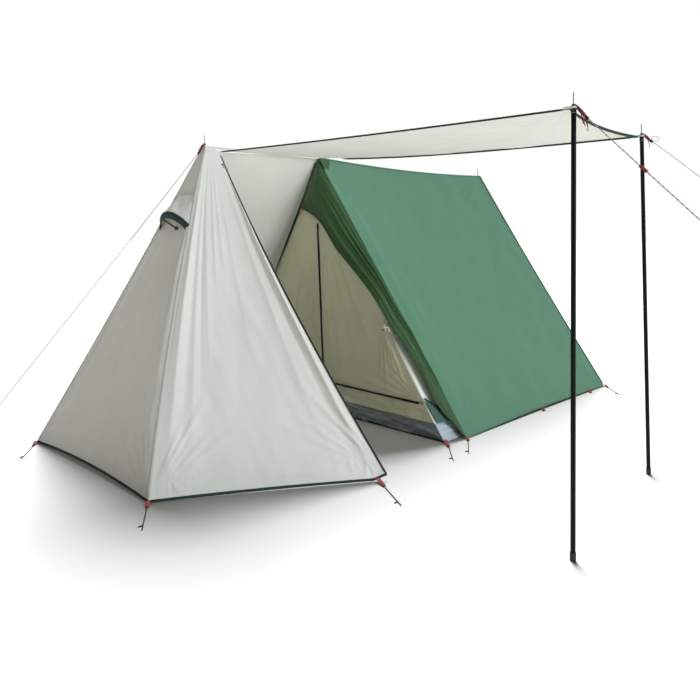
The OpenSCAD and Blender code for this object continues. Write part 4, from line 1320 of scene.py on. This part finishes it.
# Where each sun shines from, its strength, how wide it is in degrees, its colour, and what it lights
SUNS = (
    (point(0.10, -0.90, 0.43), 2.1, 38, (0.91, 1.0, 1.09), "pieces"),
    (point(0.47, 0.47, 0.74), 3.25, 42, (1.0, 1.0, 1.0), "pieces"),
    (point(0.50, 0.50, 0.70), 8.4, 30, (1.0, 1.0, 1.02), "floor"),
)
CARD_AT, CARD_AIM = point(-1.00, -2.90, 0.50), point(-1.75, -1.05, 0.30)
CARD_WATTS, CARD_SIZE = 12.0, 1.0
CARD_LIGHTS = (
    "vestibule_near_panel", "vestibule_hem", "door_zip", "inner_near_wall_made", "inner_corner_seams",
)


def lamp(name, kind, energy, colour, place_from, at, only, **values):
    """Adds a lamp that lights only these pieces."""
    light = bpy.data.lights.new(name, kind)
    light.energy, light.color = energy, colour
    for key, value in values.items():
        setattr(light, key, value)
    made = bpy.data.objects.new(name, light)
    made.rotation_mode = "QUATERNION"
    made.rotation_quaternion = Vector(unit(place_from)).to_track_quat("Z", "Y")
    made.location = at
    made.visible_camera = False
    bpy.context.scene.collection.objects.link(made)
    made.light_linking.receiver_collection = bpy.data.collections.new(name)
    for piece in only:
        made.light_linking.receiver_collection.objects.link(piece)


def make_world():
    """White where the camera sees it, and a dim warm light for the rest."""
    world = bpy.data.worlds.new("world")
    bpy.context.scene.world = world
    world.use_nodes = True
    tree = world.node_tree
    back = tree.nodes["Background"]
    back.inputs["Color"].default_value = (1.0, 0.98, 0.88, 1)
    back.inputs["Strength"].default_value = WORLD_LIGHT
    seen = tree.nodes.new("ShaderNodeBackground")
    seen.inputs["Color"].default_value = (1, 1, 1, 1)
    seen.inputs["Strength"].default_value = 1.0
    ray = tree.nodes.new("ShaderNodeLightPath")
    mix = tree.nodes.new("ShaderNodeMixShader")
    tree.links.new(ray.outputs["Is Camera Ray"], mix.inputs["Fac"])
    tree.links.new(back.outputs[0], mix.inputs[1])
    tree.links.new(seen.outputs[0], mix.inputs[2])
    tree.links.new(mix.outputs[0], tree.nodes["World Output"].inputs["Surface"])


def stage():
    pieces = [piece for piece in bpy.context.scene.objects if piece.type in ("MESH", "CURVE")]
    shape = Shape()
    rows = np.array([[[x, y, 0] for x in (-FLOOR_REACH, FLOOR_REACH)] for y in (-FLOOR_REACH, FLOOR_REACH)])
    shape.grid(rows, rows[..., :2])
    n = Nodes("floor")
    n.look(colour=(FLOOR_TONE, FLOOR_TONE, FLOOR_TONE), rough=0.9, shine=0.0)
    floor = shape.build("floor", "floor", smooth=False)
    make_world()
    for k, (place_from, strength, width, colour, lights) in enumerate(SUNS):
        lit = [floor] if lights == "floor" else pieces
        lamp(f"sun_{k}", "SUN", strength, colour, place_from, (0, 0, 0), lit, angle=math.radians(width))
    lit = [piece for piece in pieces if piece.name.startswith(CARD_LIGHTS)]
    lamp("card", "AREA", CARD_WATTS, (0.92, 1.0, 1.04), CARD_AT - CARD_AIM, CARD_AT, lit, size=CARD_SIZE)
    bpy.context.scene.view_settings.view_transform = "Standard"


stage()
